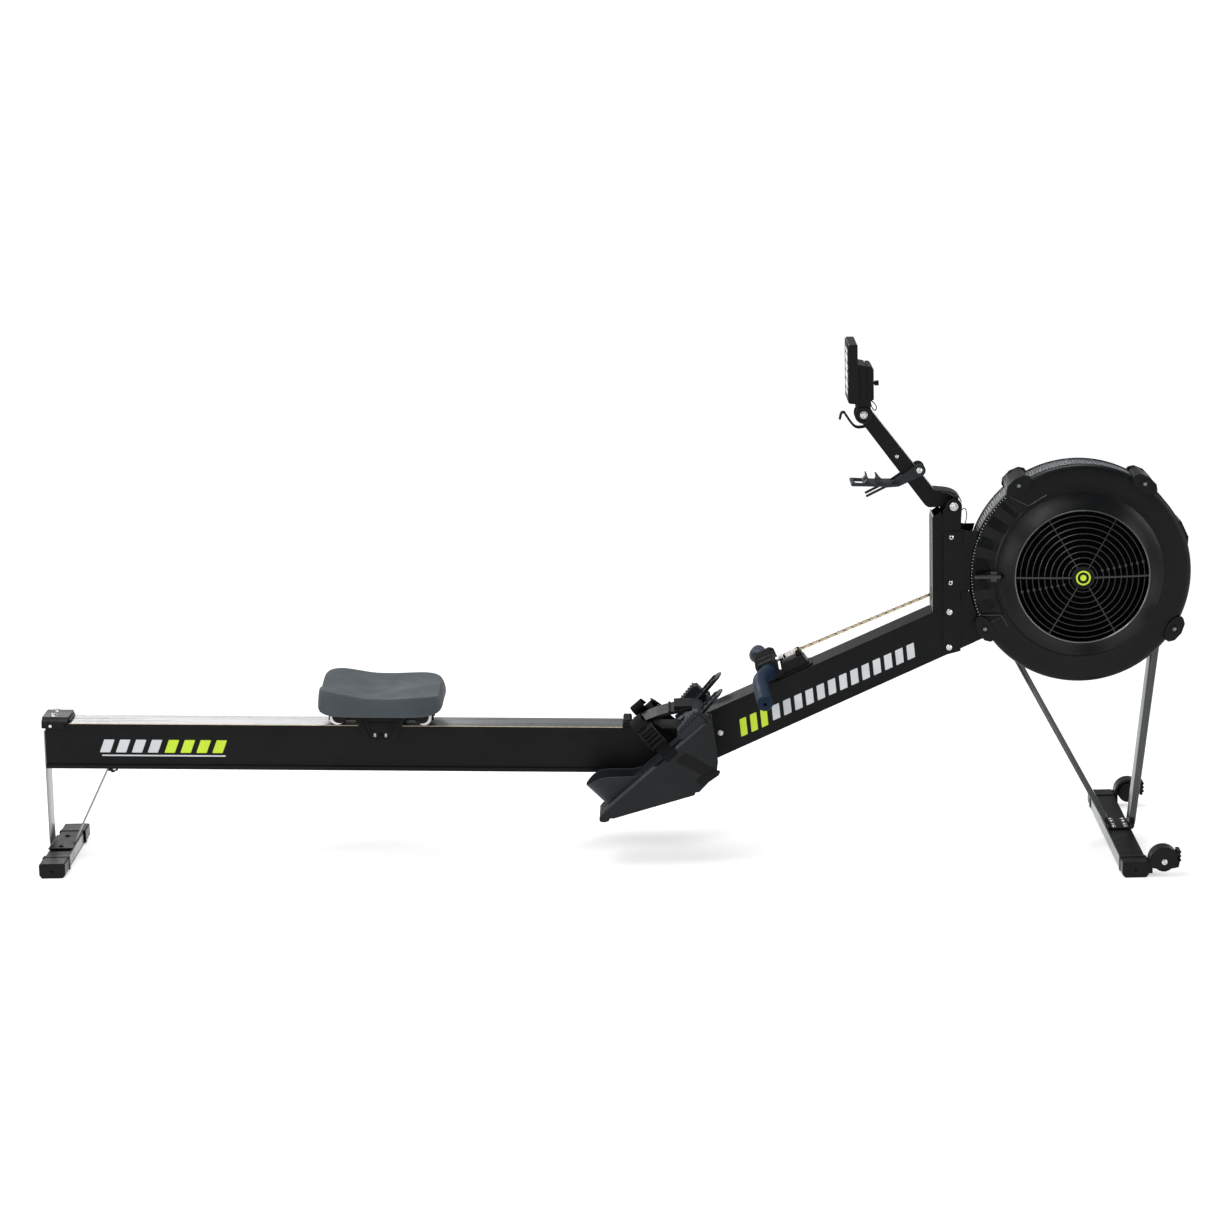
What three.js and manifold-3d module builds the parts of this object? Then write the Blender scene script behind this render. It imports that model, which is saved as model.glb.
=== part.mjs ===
// Rowing machine with a fan flywheel.
// Millimetres, +X toward the fan, +Y across the machine, +Z up, floor at z = 0.
import * as THREE from 'three';
import { mergeVertices } from 'three/addons/utils/BufferGeometryUtils.js';
import Module from 'manifold-3d';

const wasm = await Module();
wasm.setup();

// ---- driving dimensions -------------------------------------------------
const GAP = 0.3;               // clearance between touching pieces

const RAIL_TOP_AT_ZERO = 275;  // height of the rail's top at x = 0
const RAIL_SLOPE = 0.0257;     // the rail falls toward the fan, rad
const RAIL_REAR = -1211;
const RAIL_FRONT = 149;
const RAIL_HALF_WIDTH = 42;
const RAIL_HEIGHT = 97;
const TRACK_TOP = 1.8;

const SEAT_X = -496;           // seat centre along the rail
const SEAT_HALF_WIDTH = 133;
const SEAT_BASE = 38;          // underside of the cushion above the rail
const ROLLER_R = 16;
const ROLLER_X = 92;
const LOWER_ROLLER_R = 9.2;

const TUBE_ANGLE = 0.4136;     // slope of the front tube, rad
const TUBE_ORIGIN = [268, 335]; // a point on the tube's top line
const TUBE_WALL = 3;

const MAST_FRONT = 677;
const ARM_PIVOT = [722, 738];
const MONITOR_PIVOT = [536, 932];
const HOLDER_PIVOT = [651.5, 813];

const FAN = [986.5, 591];      // fan axis
const FAN_R = 232;
const FAN_RIM = 36;            // inner edge of each shell's rim from the middle plane
const GRILLE_R = 141;
const HUB_R = 24;
const CHAIN_R = 14.3;          // chain centre line around the sprocket
const PULLEY = [706, 542.4];   // chain guide pulley in the mast
const PULLEY_R = 9;
const CHAIN_HALF = 3;

const FOOT_ORIGIN = [-28, 113]; // heel end of the footboard's top line
const FOOT_ANGLE = 0.7104;      // slope of the footboards, rad
const FOOT_Y = 98;              // middle of a foot across the machine

const FRONT_FOOT_X = [1047, 1099];
const FRONT_FOOT_HALF = 302;
const REAR_FOOT_X = [-1213.5, -1166];
const REAR_FOOT_HALF = 166;
const WHEEL = [1132, 32];

// ---- finishes -----------------------------------------------------------
const finish = (color, roughness, metalness) => ({ color, roughness, metalness });
const BLACK_PAINT = finish(0x141416, 0.45, 0.2);
const BLACK_PLASTIC = finish(0x18191b, 0.5, 0);
const SLATE = finish(0x2b3236, 0.6, 0);
const GREY_STEEL = finish(0x55595c, 0.4, 0.7);
const BRIGHT_STEEL = finish(0xb8babc, 0.3, 1);
const SEAT_FOAM = finish(0x4d545a, 0.7, 0);
const WHITE_NYLON = finish(0xe8e8e6, 0.4, 0);
const NAVY = finish(0x1f3850, 0.55, 0);
const RUBBER = finish(0x111111, 0.8, 0);
const NICKEL = finish(0xa79a78, 0.35, 1);

// ---- shape helpers ------------------------------------------------------
const X = new THREE.Vector3(1, 0, 0);
const Y = new THREE.Vector3(0, 1, 0);
const Z = new THREE.Vector3(0, 0, 1);
const toRadians = THREE.MathUtils.degToRad;

function outline(points) {
  return new THREE.Shape(points.map(([a, b]) => new THREE.Vector2(a, b)));
}

function extrude(shape, depth) {
  return new THREE.ExtrudeGeometry(shape, { depth, bevelEnabled: false, curveSegments: 12 });
}

// A side view in (x, z), as thick as y0 to y1.
function prism(points, y0, y1) {
  const geometry = extrude(outline(points), y1 - y0);
  geometry.applyMatrix4(new THREE.Matrix4().makeBasis(X, Z, Y.clone().negate()));
  return geometry.translate(0, y1, 0);
}

// A cross-section in (y, z), drawn out from x0 to x1.
function beam(points, x0, x1) {
  const geometry = extrude(outline(points), x1 - x0);
  geometry.applyMatrix4(new THREE.Matrix4().makeBasis(Y, Z, X));
  return geometry.translate(x0, 0, 0);
}

// A plan view in (x, y), as high as z0 to z1.
function slab(points, z0, z1) {
  return extrude(outline(points), z1 - z0).translate(0, 0, z0);
}

function box(x0, x1, y0, y1, z0, z1) {
  const geometry = new THREE.BoxGeometry(x1 - x0, y1 - y0, z1 - z0);
  return geometry.translate((x0 + x1) / 2, (y0 + y1) / 2, (z0 + z1) / 2);
}

function cylinderY(r, x, z, y0, y1, segments = 32) {
  const geometry = new THREE.CylinderGeometry(r, r, y1 - y0, segments);
  return geometry.translate(x, (y0 + y1) / 2, z);
}

function cylinderX(r, y, z, x0, x1, segments = 20) {
  const geometry = new THREE.CylinderGeometry(r, r, x1 - x0, segments);
  return geometry.rotateZ(Math.PI / 2).translate((x0 + x1) / 2, y, z);
}

// A turned piece about Y, from (radius, y) points.
function turned(points, segments = 40) {
  return new THREE.LatheGeometry(points.map(([r, y]) => new THREE.Vector2(r, y)), segments);
}

function arcPoints(cx, cz, r, from, to, steps) {
  const points = [];
  for (let i = 0; i <= steps; i += 1) {
    const a = from + ((to - from) * i) / steps;
    points.push([cx + r * Math.cos(a), cz + r * Math.sin(a)]);
  }
  return points;
}

// Part of a ring in the (x, z) plane.
function ringSector(cx, cz, inner, outer, from, to, steps) {
  const out = arcPoints(cx, cz, outer, from, to, steps);
  return out.concat(arcPoints(cx, cz, inner, from, to, steps).reverse());
}

// A strip of even thickness that follows a path in the (x, z) plane.
function strip(path, half) {
  const sides = [[], []];
  path.forEach(([x, z], i) => {
    const before = path[Math.max(i - 1, 0)];
    const after = path[Math.min(i + 1, path.length - 1)];
    const a = new THREE.Vector2(x - before[0], z - before[1]);
    const b = new THREE.Vector2(after[0] - x, after[1] - z);
    if (i === 0) a.copy(b);
    if (i === path.length - 1) b.copy(a);
    const t = a.normalize().clone().add(b.normalize()).normalize();
    const reach = half / Math.max(t.dot(a), 0.5);
    sides[0].push([x - t.y * reach, z + t.x * reach]);
    sides[1].push([x + t.y * reach, z - t.x * reach]);
  });
  return sides[1].concat(sides[0].reverse());
}

function toSolid(geometry) {
  const plain = geometry.clone();
  plain.deleteAttribute('normal');
  plain.deleteAttribute('uv');
  const merged = mergeVertices(plain, 1e-4);
  return new wasm.Manifold(new wasm.Mesh({
    numProp: 3,
    vertProperties: new Float32Array(merged.attributes.position.array),
    triVerts: new Uint32Array(merged.index.array),
  }));
}

function toGeometry(solid) {
  const mesh = solid.getMesh();
  const geometry = new THREE.BufferGeometry();
  geometry.setAttribute('position', new THREE.BufferAttribute(mesh.vertProperties, 3));
  geometry.setIndex(new THREE.BufferAttribute(mesh.triVerts, 1));
  geometry.computeVertexNormals();
  return geometry;
}

function union(...parts) {
  return toGeometry(parts.map(toSolid).reduce((a, b) => a.add(b)));
}

function cut(body, ...tools) {
  return toGeometry(tools.map(toSolid).reduce((a, b) => a.subtract(b), toSolid(body)));
}

function common(a, b) {
  return toGeometry(toSolid(a).intersect(toSolid(b)));
}

const machine = new THREE.Group();
machine.name = 'rowing_machine';

function add(parent, name, geometry, look) {
  const mesh = new THREE.Mesh(geometry, new THREE.MeshStandardMaterial(look));
  mesh.name = name;
  parent.add(mesh);
  return mesh;
}

function subgroup(x, z, turn = 0) {
  const group = new THREE.Group();
  group.position.set(x, 0, z);
  group.rotation.y = turn;
  machine.add(group);
  return group;
}

// A piece on the near side (-Y) and its twin on the far side.
const SIDES = [['near', -1], ['far', 1]];
const span = (side, inner, outer) => (side < 0 ? [-outer, -inner] : [inner, outer]);

// ---- rail ---------------------------------------------------------------
const rail = subgroup(0, RAIL_TOP_AT_ZERO, RAIL_SLOPE);

const railSection = [[-42, 0], [-42, -8], [-37, -8], [-37, -89], [-42, -89], [-42, -RAIL_HEIGHT],
  [42, -RAIL_HEIGHT], [42, -89], [37, -89], [37, -8], [42, -8], [42, 0]].reverse();
add(rail, 'monorail', cut(
  beam(railSection, RAIL_REAR, RAIL_FRONT),
  box(RAIL_REAR - 5, RAIL_FRONT + 5, -34, 34, -92, -8),
), BLACK_PAINT);
add(rail, 'rail_track', box(-1159, 18, -40, 40, GAP, TRACK_TOP), BRIGHT_STEEL);
add(rail, 'rear_end_cap', slab([[-1218, -38], [-1210, -46], [-1168, -46], [-1160, -38], [-1160, 38],
  [-1168, 46], [-1210, 46], [-1218, 38]], GAP, 14), BLACK_PLASTIC);
add(rail, 'front_stop', box(19, 38, -44, 44, GAP, 15), BLACK_PLASTIC);

// ---- seat ---------------------------------------------------------------
const seat = new THREE.Group();
seat.position.set(SEAT_X, 0, 0);
rail.add(seat);

const cushionSide = [[-122, SEAT_BASE], [122, SEAT_BASE], [132, 50], [134, 70], [126, 84], [60, 84],
  [0, 80], [-70, 84], [-104, 92], [-120, 92], [-128, 80], [-126, 50]];
const cushionPlan = [[-134, -100], [-100, -SEAT_HALF_WIDTH], [104, -SEAT_HALF_WIDTH], [136, -104],
  [136, 104], [104, SEAT_HALF_WIDTH], [-100, SEAT_HALF_WIDTH], [-134, 100]];
add(seat, 'seat_cushion', common(
  prism(cushionSide, -SEAT_HALF_WIDTH - 5, SEAT_HALF_WIDTH + 5),
  slab(cushionPlan, 30, 100),
), SEAT_FOAM);

const axleZ = TRACK_TOP + GAP + ROLLER_R;
const lowerZ = -8 - GAP - LOWER_ROLLER_R;
const carriageTop = SEAT_BASE - GAP;
const hanger = [[-62, carriageTop], [-28, -30], [28, -30], [62, carriageTop]];
const carriageSolid = union(
  box(-112, 112, -53, 53, 34.8, carriageTop),
  ...SIDES.flatMap(([, side]) => [
    prism(hanger, ...span(side, 49.6, 53)),
    box(-112, 112, ...span(side, 19, 24), 9, 36),
  ]),
);
add(seat, 'seat_carriage', cut(
  carriageSolid,
  cylinderY(4.4, -ROLLER_X, axleZ, -60, 60, 20),
  cylinderY(4.4, ROLLER_X, axleZ, -60, 60, 20),
), BLACK_PAINT);

const axleProfile = [[0, -41], [ROLLER_R, -41], [ROLLER_R, -28], [4, -28], [4, 28],
  [ROLLER_R, 28], [ROLLER_R, 41], [0, 41]];
[['rear', -1], ['front', 1]].forEach(([name, end]) => {
  const axle = add(seat, `seat_rollers_${name}`, turned(axleProfile, 32), WHITE_NYLON);
  axle.position.set(end * ROLLER_X, 0, axleZ);
  SIDES.forEach(([sideName, side]) => {
    const [y0, y1] = span(side, 38, 49.2);
    const roller = turned([[0, y0], [LOWER_ROLLER_R, y0], [LOWER_ROLLER_R, y1], [0, y1]], 24);
    const mesh = add(seat, `lower_roller_${name}_${sideName}`, roller, WHITE_NYLON);
    mesh.position.set(end * 12.5, 0, lowerZ);
  });
});

// ---- front tube, handle rest, handle ------------------------------------
const tube = subgroup(TUBE_ORIGIN[0], TUBE_ORIGIN[1], -TUBE_ANGLE);

const tubeSide = [[150, 175], [764, 446.4], [738, 539], [150, 283.8]];
const tubeBore = [[140, 173.9], [780, 456.8], [754, 542.4], [140, 275.9]];
add(machine, 'front_tube', cut(
  prism(tubeSide, -RAIL_HALF_WIDTH, RAIL_HALF_WIDTH),
  prism(tubeBore, -RAIL_HALF_WIDTH + TUBE_WALL, RAIL_HALF_WIDTH - TUBE_WALL),
), BLACK_PAINT);

add(tube, 'handle_rest', union(
  box(86, 168, -34, 34, GAP, 5),
  prism([[103, 4], [163, 4], [160, 22], [150, 26], [106, 26]], -26, 26),
), BLACK_PLASTIC);

add(tube, 'handle_core', prism([[58, 22], [66, 14], [96, 14], [101.5, 20], [101.5, 46],
  [96, 50], [66, 50], [58, 42]], -68, 68), RUBBER);
add(tube, 'chain_swivel', union(
  box(101.5 + GAP, 140, -7, 7, 29, 41),
  cylinderY(4, 140, 35, -9, 9, 16),
  box(138, 152, -5, 5, 31, 39),
), NICKEL);

SIDES.forEach(([name, side]) => {
  const bend = new THREE.CatmullRomCurve3([
    new THREE.Vector3(328, side * 69, 397),
    new THREE.Vector3(328, side * 79, 397),
    new THREE.Vector3(319, side * 106, 392),
    new THREE.Vector3(315.5, side * 150, 385),
    new THREE.Vector3(315, side * 252, 369),
  ]);
  const round = new THREE.Shape().absarc(0, 0, 16.5, 0, Math.PI * 2, false);
  const grip = new THREE.ExtrudeGeometry(round, { steps: 12, extrudePath: bend, curveSegments: 10 });
  add(machine, `handle_grip_${name}`, grip, NAVY);
});

// ---- mast ---------------------------------------------------------------
const channelSide = [[MAST_FRONT, 513.5], [730, 536.5], [730, 690], [712, 700], [695, 726],
  [MAST_FRONT, 714]];
add(machine, 'mast_channel', cut(
  prism(channelSide, -RAIL_HALF_WIDTH, RAIL_HALF_WIDTH),
  prism([[MAST_FRONT + 3, 480], [760, 480], [760, 760], [MAST_FRONT + 3, 760]], -39, 39),
  box(MAST_FRONT - 5, MAST_FRONT + 5, -8, 8, 530, 560),
), BLACK_PAINT);

const plateSide = [[699, 420], [735, 429], [735, 557], [750, 559], [750, 686], [736, 690], [738, 730],
  ...arcPoints(ARM_PIVOT[0], ARM_PIVOT[1], 17, 0, Math.PI, 8), [699, 728]];
SIDES.forEach(([name, side]) => {
  const plate = prism(plateSide, ...span(side, RAIL_HALF_WIDTH + GAP, 45.3));
  add(machine, `mast_plate_${name}`, plate, BLACK_PAINT);
});

const pulley = turned([[0, -38], [4, -38], [4, -6], [12, -6], [12, -4], [PULLEY_R, -4], [PULLEY_R, 4],
  [12, 4], [12, 6], [4, 6], [4, 38], [0, 38]], 24);
add(machine, 'guide_pulley', pulley, BRIGHT_STEEL).position.set(PULLEY[0], 0, PULLEY[1]);

// ---- monitor arm, monitor, device holder --------------------------------
const arm = strip([MONITOR_PIVOT, [674, 751], ARM_PIVOT], 14);
add(machine, 'monitor_arm', union(
  prism(arm, -18, 18),
  cylinderY(19, ...MONITOR_PIVOT, -18, 18),
  cylinderY(15, ...ARM_PIVOT, -41.5, 41.5),
), BLACK_PAINT);

const BUTTON_Y = -56;
const BUTTON_Z = [1038, 1024, 1010, 996];
const ears = [[521, 966], [526, 922], [546, 922], [552, 966]];
add(machine, 'monitor_case', cut(
  union(
    box(503, 522, -70, 70, 961, 1086),
    box(521, 556, -50, 50, 963, 1040),
    box(555, 569, -4, 4, 992, 1000),
    prism(ears, -25, -18.5),
    prism(ears, 18.5, 25),
  ),
  ...BUTTON_Z.map((z) => cylinderX(4.5, BUTTON_Y, z, 500, 508)),
), BLACK_PLASTIC);
BUTTON_Z.forEach((z, i) => {
  add(machine, `monitor_button_${i + 1}`, cylinderX(4, BUTTON_Y, z, 501, 506.5), RUBBER);
});

const holderArm = [[HOLDER_PIVOT[0] - 4, 825], [HOLDER_PIVOT[0] + 8, 822], [HOLDER_PIVOT[0] + 10, 812],
  [HOLDER_PIVOT[0], 801], [608, 778], [578, 778], [543, 758], [539, 762], [592, 790]];
add(machine, 'device_holder', union(
  prism(holderArm, -26, -18.6),
  prism(holderArm, 18.6, 26),
  prism([[508, 788], [520, 784], [600, 781], [604, 786], [512, 793]], -38, 38),
  prism([[536, 790], [548, 790], [543, 803]], -38, 38),
  prism([[562, 789], [572, 788], [564, 802]], -38, 38),
), SLATE);

// ---- fan ----------------------------------------------------------------
const fan = subgroup(FAN[0], FAN[1]);

function grille(hubFace) {
  const height = (r) => 84 + ((hubFace - 84) * (GRILLE_R - r)) / (GRILLE_R - HUB_R);
  const parts = [turned([[0, hubFace - 9], [HUB_R, hubFace - 9], [HUB_R, hubFace], [0, hubFace]], 32)];
  [118, 95, 72, 48].forEach((r) => {
    const h = height(r);
    parts.push(turned([[r - 2, h - 5], [r + 2, h - 5], [r + 2, h], [r - 2, h], [r - 2, h - 5]], 32));
  });
  for (let i = 0; i < 6; i += 1) {
    const spoke = box(HUB_R - 4, GRILLE_R + 2, -4, 0, -1.5, 1.5);
    spoke.rotateZ(-Math.atan2(hubFace - 84, GRILLE_R - HUB_R));
    spoke.translate(0, height(0) - 0.5, 0).rotateY((i * Math.PI) / 3);
    parts.push(spoke);
  }
  return parts;
}

const shellProfile = [[FAN_R - 3, FAN_RIM], [FAN_R, FAN_RIM], [FAN_R, 43], [228, 50], [219, 54],
  [173, 58], [GRILLE_R, 84], [GRILLE_R - 3, 84], [GRILLE_R - 3, 81], [171, 55], [217, 51],
  [225.5, 48], [FAN_R - 3, 42], [FAN_R - 3, FAN_RIM]];
const farProfile = [[0, 93], [54, 93], [58, 85], [GRILLE_R - 1, 77], [171, 55], [217, 51], [225.5, 48],
  [FAN_R - 3, 42], [FAN_R - 3, FAN_RIM], [FAN_R, FAN_RIM], [FAN_R, 43], [228, 50], [219, 54],
  [173, 58], [GRILLE_R, 80], [60, 88], [56, 96], [0, 96]];
const nearShell = add(fan, 'fan_shell_near', union(turned(shellProfile, 48), ...grille(97)), BLACK_PLASTIC);
nearShell.rotation.x = Math.PI;
add(fan, 'fan_shell_far', turned(farProfile, 48), BLACK_PLASTIC);

const bandHalf = FAN_RIM - GAP;
const bandFrom = toRadians(-25);
const bandTo = toRadians(214);
add(fan, 'fan_band', cut(
  prism(ringSector(0, 0, 225, 229, bandFrom, bandTo, 40), -bandHalf, bandHalf),
  box(-240, -190, -9, 9, -104, -16),
), GREY_STEEL);

[124.4, 55, 209.5, -31.6].forEach((degrees, i) => {
  const middle = toRadians(degrees);
  const half = toRadians(6);
  const sector = ringSector(0, 0, FAN_R + GAP, 246, middle - half, middle + half, 4);
  add(fan, `fan_clip_${i + 1}`, prism(sector, -50, 50), BLACK_PLASTIC);
});

add(fan, 'flywheel', turned([[0, -80], [6, -80], [6, -40], [25, -40], [25, -25], [150, -25],
  [150, -38], [188, -38], [188, -8], [150, -8], [150, -21], [25, -21], [25, -8], [6, -8],
  [6, 80], [0, 80]], 48), BRIGHT_STEEL);
add(fan, 'sprocket', turned([[6.3, -5.3], [14, -5.3], [14, -3.8], [10.9, -3.8], [10.9, 3.8],
  [14, 3.8], [14, 5.3], [6.3, 5.3], [6.3, -5.3]], 28), BRIGHT_STEEL);
add(fan, 'damper_lever', union(
  box(-222, -172, -74, -66, -4, 4),
  prism(ringSector(0, 0, 174, 192, Math.PI - 0.16, Math.PI + 0.16, 6), -68, -60.5),
), BLACK_PLASTIC);

// ---- chain --------------------------------------------------------------
// A point given along and above the front tube's top line, in machine coordinates.
function onTube(along, above) {
  const c = Math.cos(TUBE_ANGLE);
  const s = Math.sin(TUBE_ANGLE);
  return [TUBE_ORIGIN[0] + along * c - above * s, TUBE_ORIGIN[1] + along * s + above * c];
}

const mastEntry = [674.6, 542.9];
add(machine, 'drive_chain', prism(strip([onTube(152.4, 35), mastEntry], CHAIN_HALF), -3.5, 3.5), NICKEL);

const pulleyReach = PULLEY_R + GAP + CHAIN_HALF;
const tubeMouth = [755, 496.8];
const returnPath = [
  [675.2, 543.2],
  ...arcPoints(PULLEY[0], PULLEY[1], pulleyReach, toRadians(112), toRadians(100), 2),
  ...arcPoints(FAN[0], FAN[1], CHAIN_R, toRadians(100), toRadians(-71), 12),
  tubeMouth,
  [420, 349.3],
];
const cordPath = [
  [426, 351.9],
  ...arcPoints(226, 250, 12, toRadians(114), toRadians(294), 8),
  [650, 423.6],
];
add(machine, 'return_chain', union(
  prism(strip(returnPath, CHAIN_HALF), -3.5, 3.5),
  prism(strip(cordPath, 3.4), -3.4, 3.4),
), NICKEL);

// ---- front legs ---------------------------------------------------------
add(machine, 'front_leg_inner', prism([[812, 468], [1044.2, 36.3], [1058.5, 36.3], [826, 468]], -24, 24),
  GREY_STEEL);
add(machine, 'front_leg_outer', prism([[1144.5, 470], [1094.3, 36.3], [1108, 36.3], [1111, 53],
  [1164.3, 470]], -24, 24), GREY_STEEL);
add(machine, 'front_foot', union(
  box(FRONT_FOOT_X[0], FRONT_FOOT_X[1], -251 + GAP, 251 - GAP, 2, 32),
  box(1043, 1112, -40, 40, 31.5, 36),
), BLACK_PAINT);

SIDES.forEach(([name, side]) => {
  const guard = ringSector(WHEEL[0], WHEEL[1], 26, 31, toRadians(10), toRadians(200), 14);
  const face = arcPoints(WHEEL[0], WHEEL[1], 31, toRadians(-20), toRadians(200), 16);
  add(machine, `front_foot_cap_${name}`, union(
    box(FRONT_FOOT_X[0] - 2, FRONT_FOOT_X[1] + 2, ...span(side, 251, FRONT_FOOT_HALF), 0, 34),
    box(1098, 1106.5, ...span(side, 266, FRONT_FOOT_HALF), 8, 34),
    prism(guard, ...span(side, 266, FRONT_FOOT_HALF)),
    prism(face, ...span(side, 299, FRONT_FOOT_HALF)),
  ), BLACK_PLASTIC);
  const [y0, y1] = span(side, 270, 298.6);
  const wheel = turned([[0, y0], [20, y0], [22.5, y0 + 3], [22.5, y1 - 3], [20, y1], [0, y1]], 32);
  add(machine, `caster_wheel_${name}`, wheel, RUBBER).position.set(WHEEL[0], 0, WHEEL[1]);
});

// ---- rear leg -----------------------------------------------------------
add(machine, 'rear_leg', union(
  box(-1217, -1213.6, -30, 30, 32, 290),
  box(-1217, -1164, -30, 30, 31.8, 35.8),
), GREY_STEEL);
add(machine, 'rear_brace', union(
  prism(strip([[-1084, 203.2], [-1166.4, 37.2]], 1.5), -20, 20),
  box(-1086, -1058, -20, 20, 201.5, 204.8),
), GREY_STEEL);
add(machine, 'rear_foot', box(REAR_FOOT_X[0], REAR_FOOT_X[1], -101.7, 101.7, 2, 31.5), BLACK_PAINT);
SIDES.forEach(([name, side]) => {
  add(machine, `rear_foot_cap_${name}`, box(-1218.5, -1161, ...span(side, 102, REAR_FOOT_HALF), 0, 33),
    BLACK_PLASTIC);
});

// ---- footboards ---------------------------------------------------------
const foot = subgroup(FOOT_ORIGIN[0], FOOT_ORIGIN[1], -FOOT_ANGLE);
const panelSide = [[0, 0], [-12, -3], [-4, -15], [18, -25], [176, -99], [240, -95], [260, -76],
  [305, -4], [300, 0]];
const cupSide = [[10, 1], [14, 56], [24, 64], [48, 58], [112, 14], [112, 1]];
const tongueSide = [[226, 0.5], [292, 10], [360, 20], [360, 23.5], [290, 14.5], [224, 4.2]];

SIDES.forEach(([name, side]) => {
  add(foot, `footboard_${name}`, union(
    prism([[-12, -3], [-6, -8], [304, -8], [300, 0], [0, 0]], ...span(side, 47, 150)),
    prism(panelSide, ...span(side, 145, 150)),
    prism(panelSide, ...span(side, 47, 52)),
    cylinderY(14, 230, -40, ...span(side, RAIL_HALF_WIDTH + GAP, 50), 20),
    prism([[228, -4], [228, 30], [296, 42], [300, 34], [300, -4]], ...span(side, 106, 138)),
  ), SLATE);

  const middle = side * FOOT_Y;
  const wallPlan = [
    ...arcPoints(52, middle, 36, Math.PI / 2, Math.PI * 1.5, 12),
    [112, middle - 36],
    [112, middle - 33],
    ...arcPoints(52, middle, 33, Math.PI * 1.5, Math.PI / 2, 12),
    [112, middle + 33],
    [112, middle + 36],
  ];
  add(foot, `heel_cup_${name}`, union(
    box(30, 226, ...span(side, FOOT_Y - 34, FOOT_Y + 7), 0.4, 4.4),
    box(30, 190, ...span(side, FOOT_Y, FOOT_Y + 34), 0.4, 4.4),
    common(slab(wallPlan, 0.4, 66), prism(cupSide, ...span(side, 50, 146))),
    prism(tongueSide, ...span(side, 79, 103)),
  ), SLATE);

  const arch = arcPoints(middle, 0, 1, 0, Math.PI, 16);
  const stretch = (wide, high) => arch.map(([y, n]) => [middle + (y - middle) * wide, GAP + n * high]);
  add(foot, `foot_strap_${name}`, beam(stretch(47, 64).concat(stretch(44, 61).reverse()), 150, 186),
    RUBBER);
});

add(machine, 'foot_cover', prism([[40, 277], [118, 308], [168, 317], [185, 313], [185, 307], [166, 311],
  [119, 302], [64, 277]], -46, 46), BLACK_PLASTIC);

export default machine;
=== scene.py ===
# %% [markdown]
# # A rowing machine with a fan flywheel
# The real machine is a long beam that a seat rolls on, a sloped tube that carries the chain, and a fan that
# the chain turns. Its shape and its moving bodies are already fixed as a frame, so this lesson is only about
# looks: it loads that frame, then dresses it piece by piece.

# %% Load the frame
import math
import random

import bmesh
import bpy
from mathutils import Matrix, Vector


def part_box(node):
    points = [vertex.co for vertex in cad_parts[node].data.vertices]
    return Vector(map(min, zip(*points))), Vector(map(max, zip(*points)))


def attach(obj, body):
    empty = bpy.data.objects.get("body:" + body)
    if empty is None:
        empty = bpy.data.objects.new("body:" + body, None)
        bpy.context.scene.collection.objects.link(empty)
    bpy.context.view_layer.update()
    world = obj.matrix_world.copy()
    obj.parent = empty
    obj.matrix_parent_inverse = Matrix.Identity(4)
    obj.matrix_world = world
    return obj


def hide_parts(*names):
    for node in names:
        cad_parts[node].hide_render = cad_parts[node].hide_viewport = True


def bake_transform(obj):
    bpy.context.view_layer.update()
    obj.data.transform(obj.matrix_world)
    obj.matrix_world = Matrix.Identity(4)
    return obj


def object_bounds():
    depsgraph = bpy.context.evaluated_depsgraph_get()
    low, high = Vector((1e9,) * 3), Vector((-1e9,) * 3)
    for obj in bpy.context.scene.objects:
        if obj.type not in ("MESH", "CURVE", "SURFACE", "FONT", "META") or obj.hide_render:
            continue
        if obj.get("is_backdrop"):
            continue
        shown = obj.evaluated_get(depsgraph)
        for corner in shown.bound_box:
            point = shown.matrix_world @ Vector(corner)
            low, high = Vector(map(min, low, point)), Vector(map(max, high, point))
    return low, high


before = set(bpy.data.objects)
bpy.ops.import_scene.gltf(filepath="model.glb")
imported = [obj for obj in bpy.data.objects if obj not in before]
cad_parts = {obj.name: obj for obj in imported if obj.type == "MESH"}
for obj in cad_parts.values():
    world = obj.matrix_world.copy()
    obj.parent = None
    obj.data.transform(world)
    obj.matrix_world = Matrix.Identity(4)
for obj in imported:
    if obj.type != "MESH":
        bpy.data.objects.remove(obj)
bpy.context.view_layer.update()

# %% [markdown]
# ## Camera
# A long lens flattens the machine almost to a side view, as a catalogue picture does, with a slight look down
# so that the tops of the beam and the feet show. The camera is set from three axes, which says exactly
# which way it is turned, where three angles would have to be unpicked by the reader.

# %% Camera
CAMERA_AXES = (
    (0.999648, 0.014623, -0.022151),
    (0.018816, 0.198230, 0.979975),
    (0.018721, -0.980046, 0.197885),
)
CAMERA_PLACE = (0.1300, -7.3156, 2.0059)

camera_data = bpy.data.cameras.new("camera")
camera_data.sensor_width = 36
camera_data.lens = 104.377
camera_data.clip_end = 100
camera = bpy.data.objects.new("camera", camera_data)
bpy.context.scene.collection.objects.link(camera)
camera.matrix_world = Matrix.Translation(CAMERA_PLACE) @ Matrix(CAMERA_AXES).transposed().to_4x4()
bpy.context.scene.camera = camera
print("camera lens", camera_data.lens)

# %% [markdown]
# ## Studio
# Black paint shows only what it reflects, so the lights are large and soft: one wide panel overhead, one on
# each side, and a pale world all round. Small hard lamps would leave white dots on every bolt and nothing on
# the flat sides. The floor is plain and pale, and carries a faint shadow.

# %% Studio
def area_light(name, place, aim, size, power):
    data = bpy.data.lights.new(name, "AREA")
    data.shape = "RECTANGLE"
    data.size, data.size_y = size
    data.energy = power
    lamp = bpy.data.objects.new(name, data)
    lamp.location = place
    lamp.rotation_euler = (Vector(aim) - Vector(place)).to_track_quat("-Z", "Y").to_euler()
    bpy.context.scene.collection.objects.link(lamp)


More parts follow.
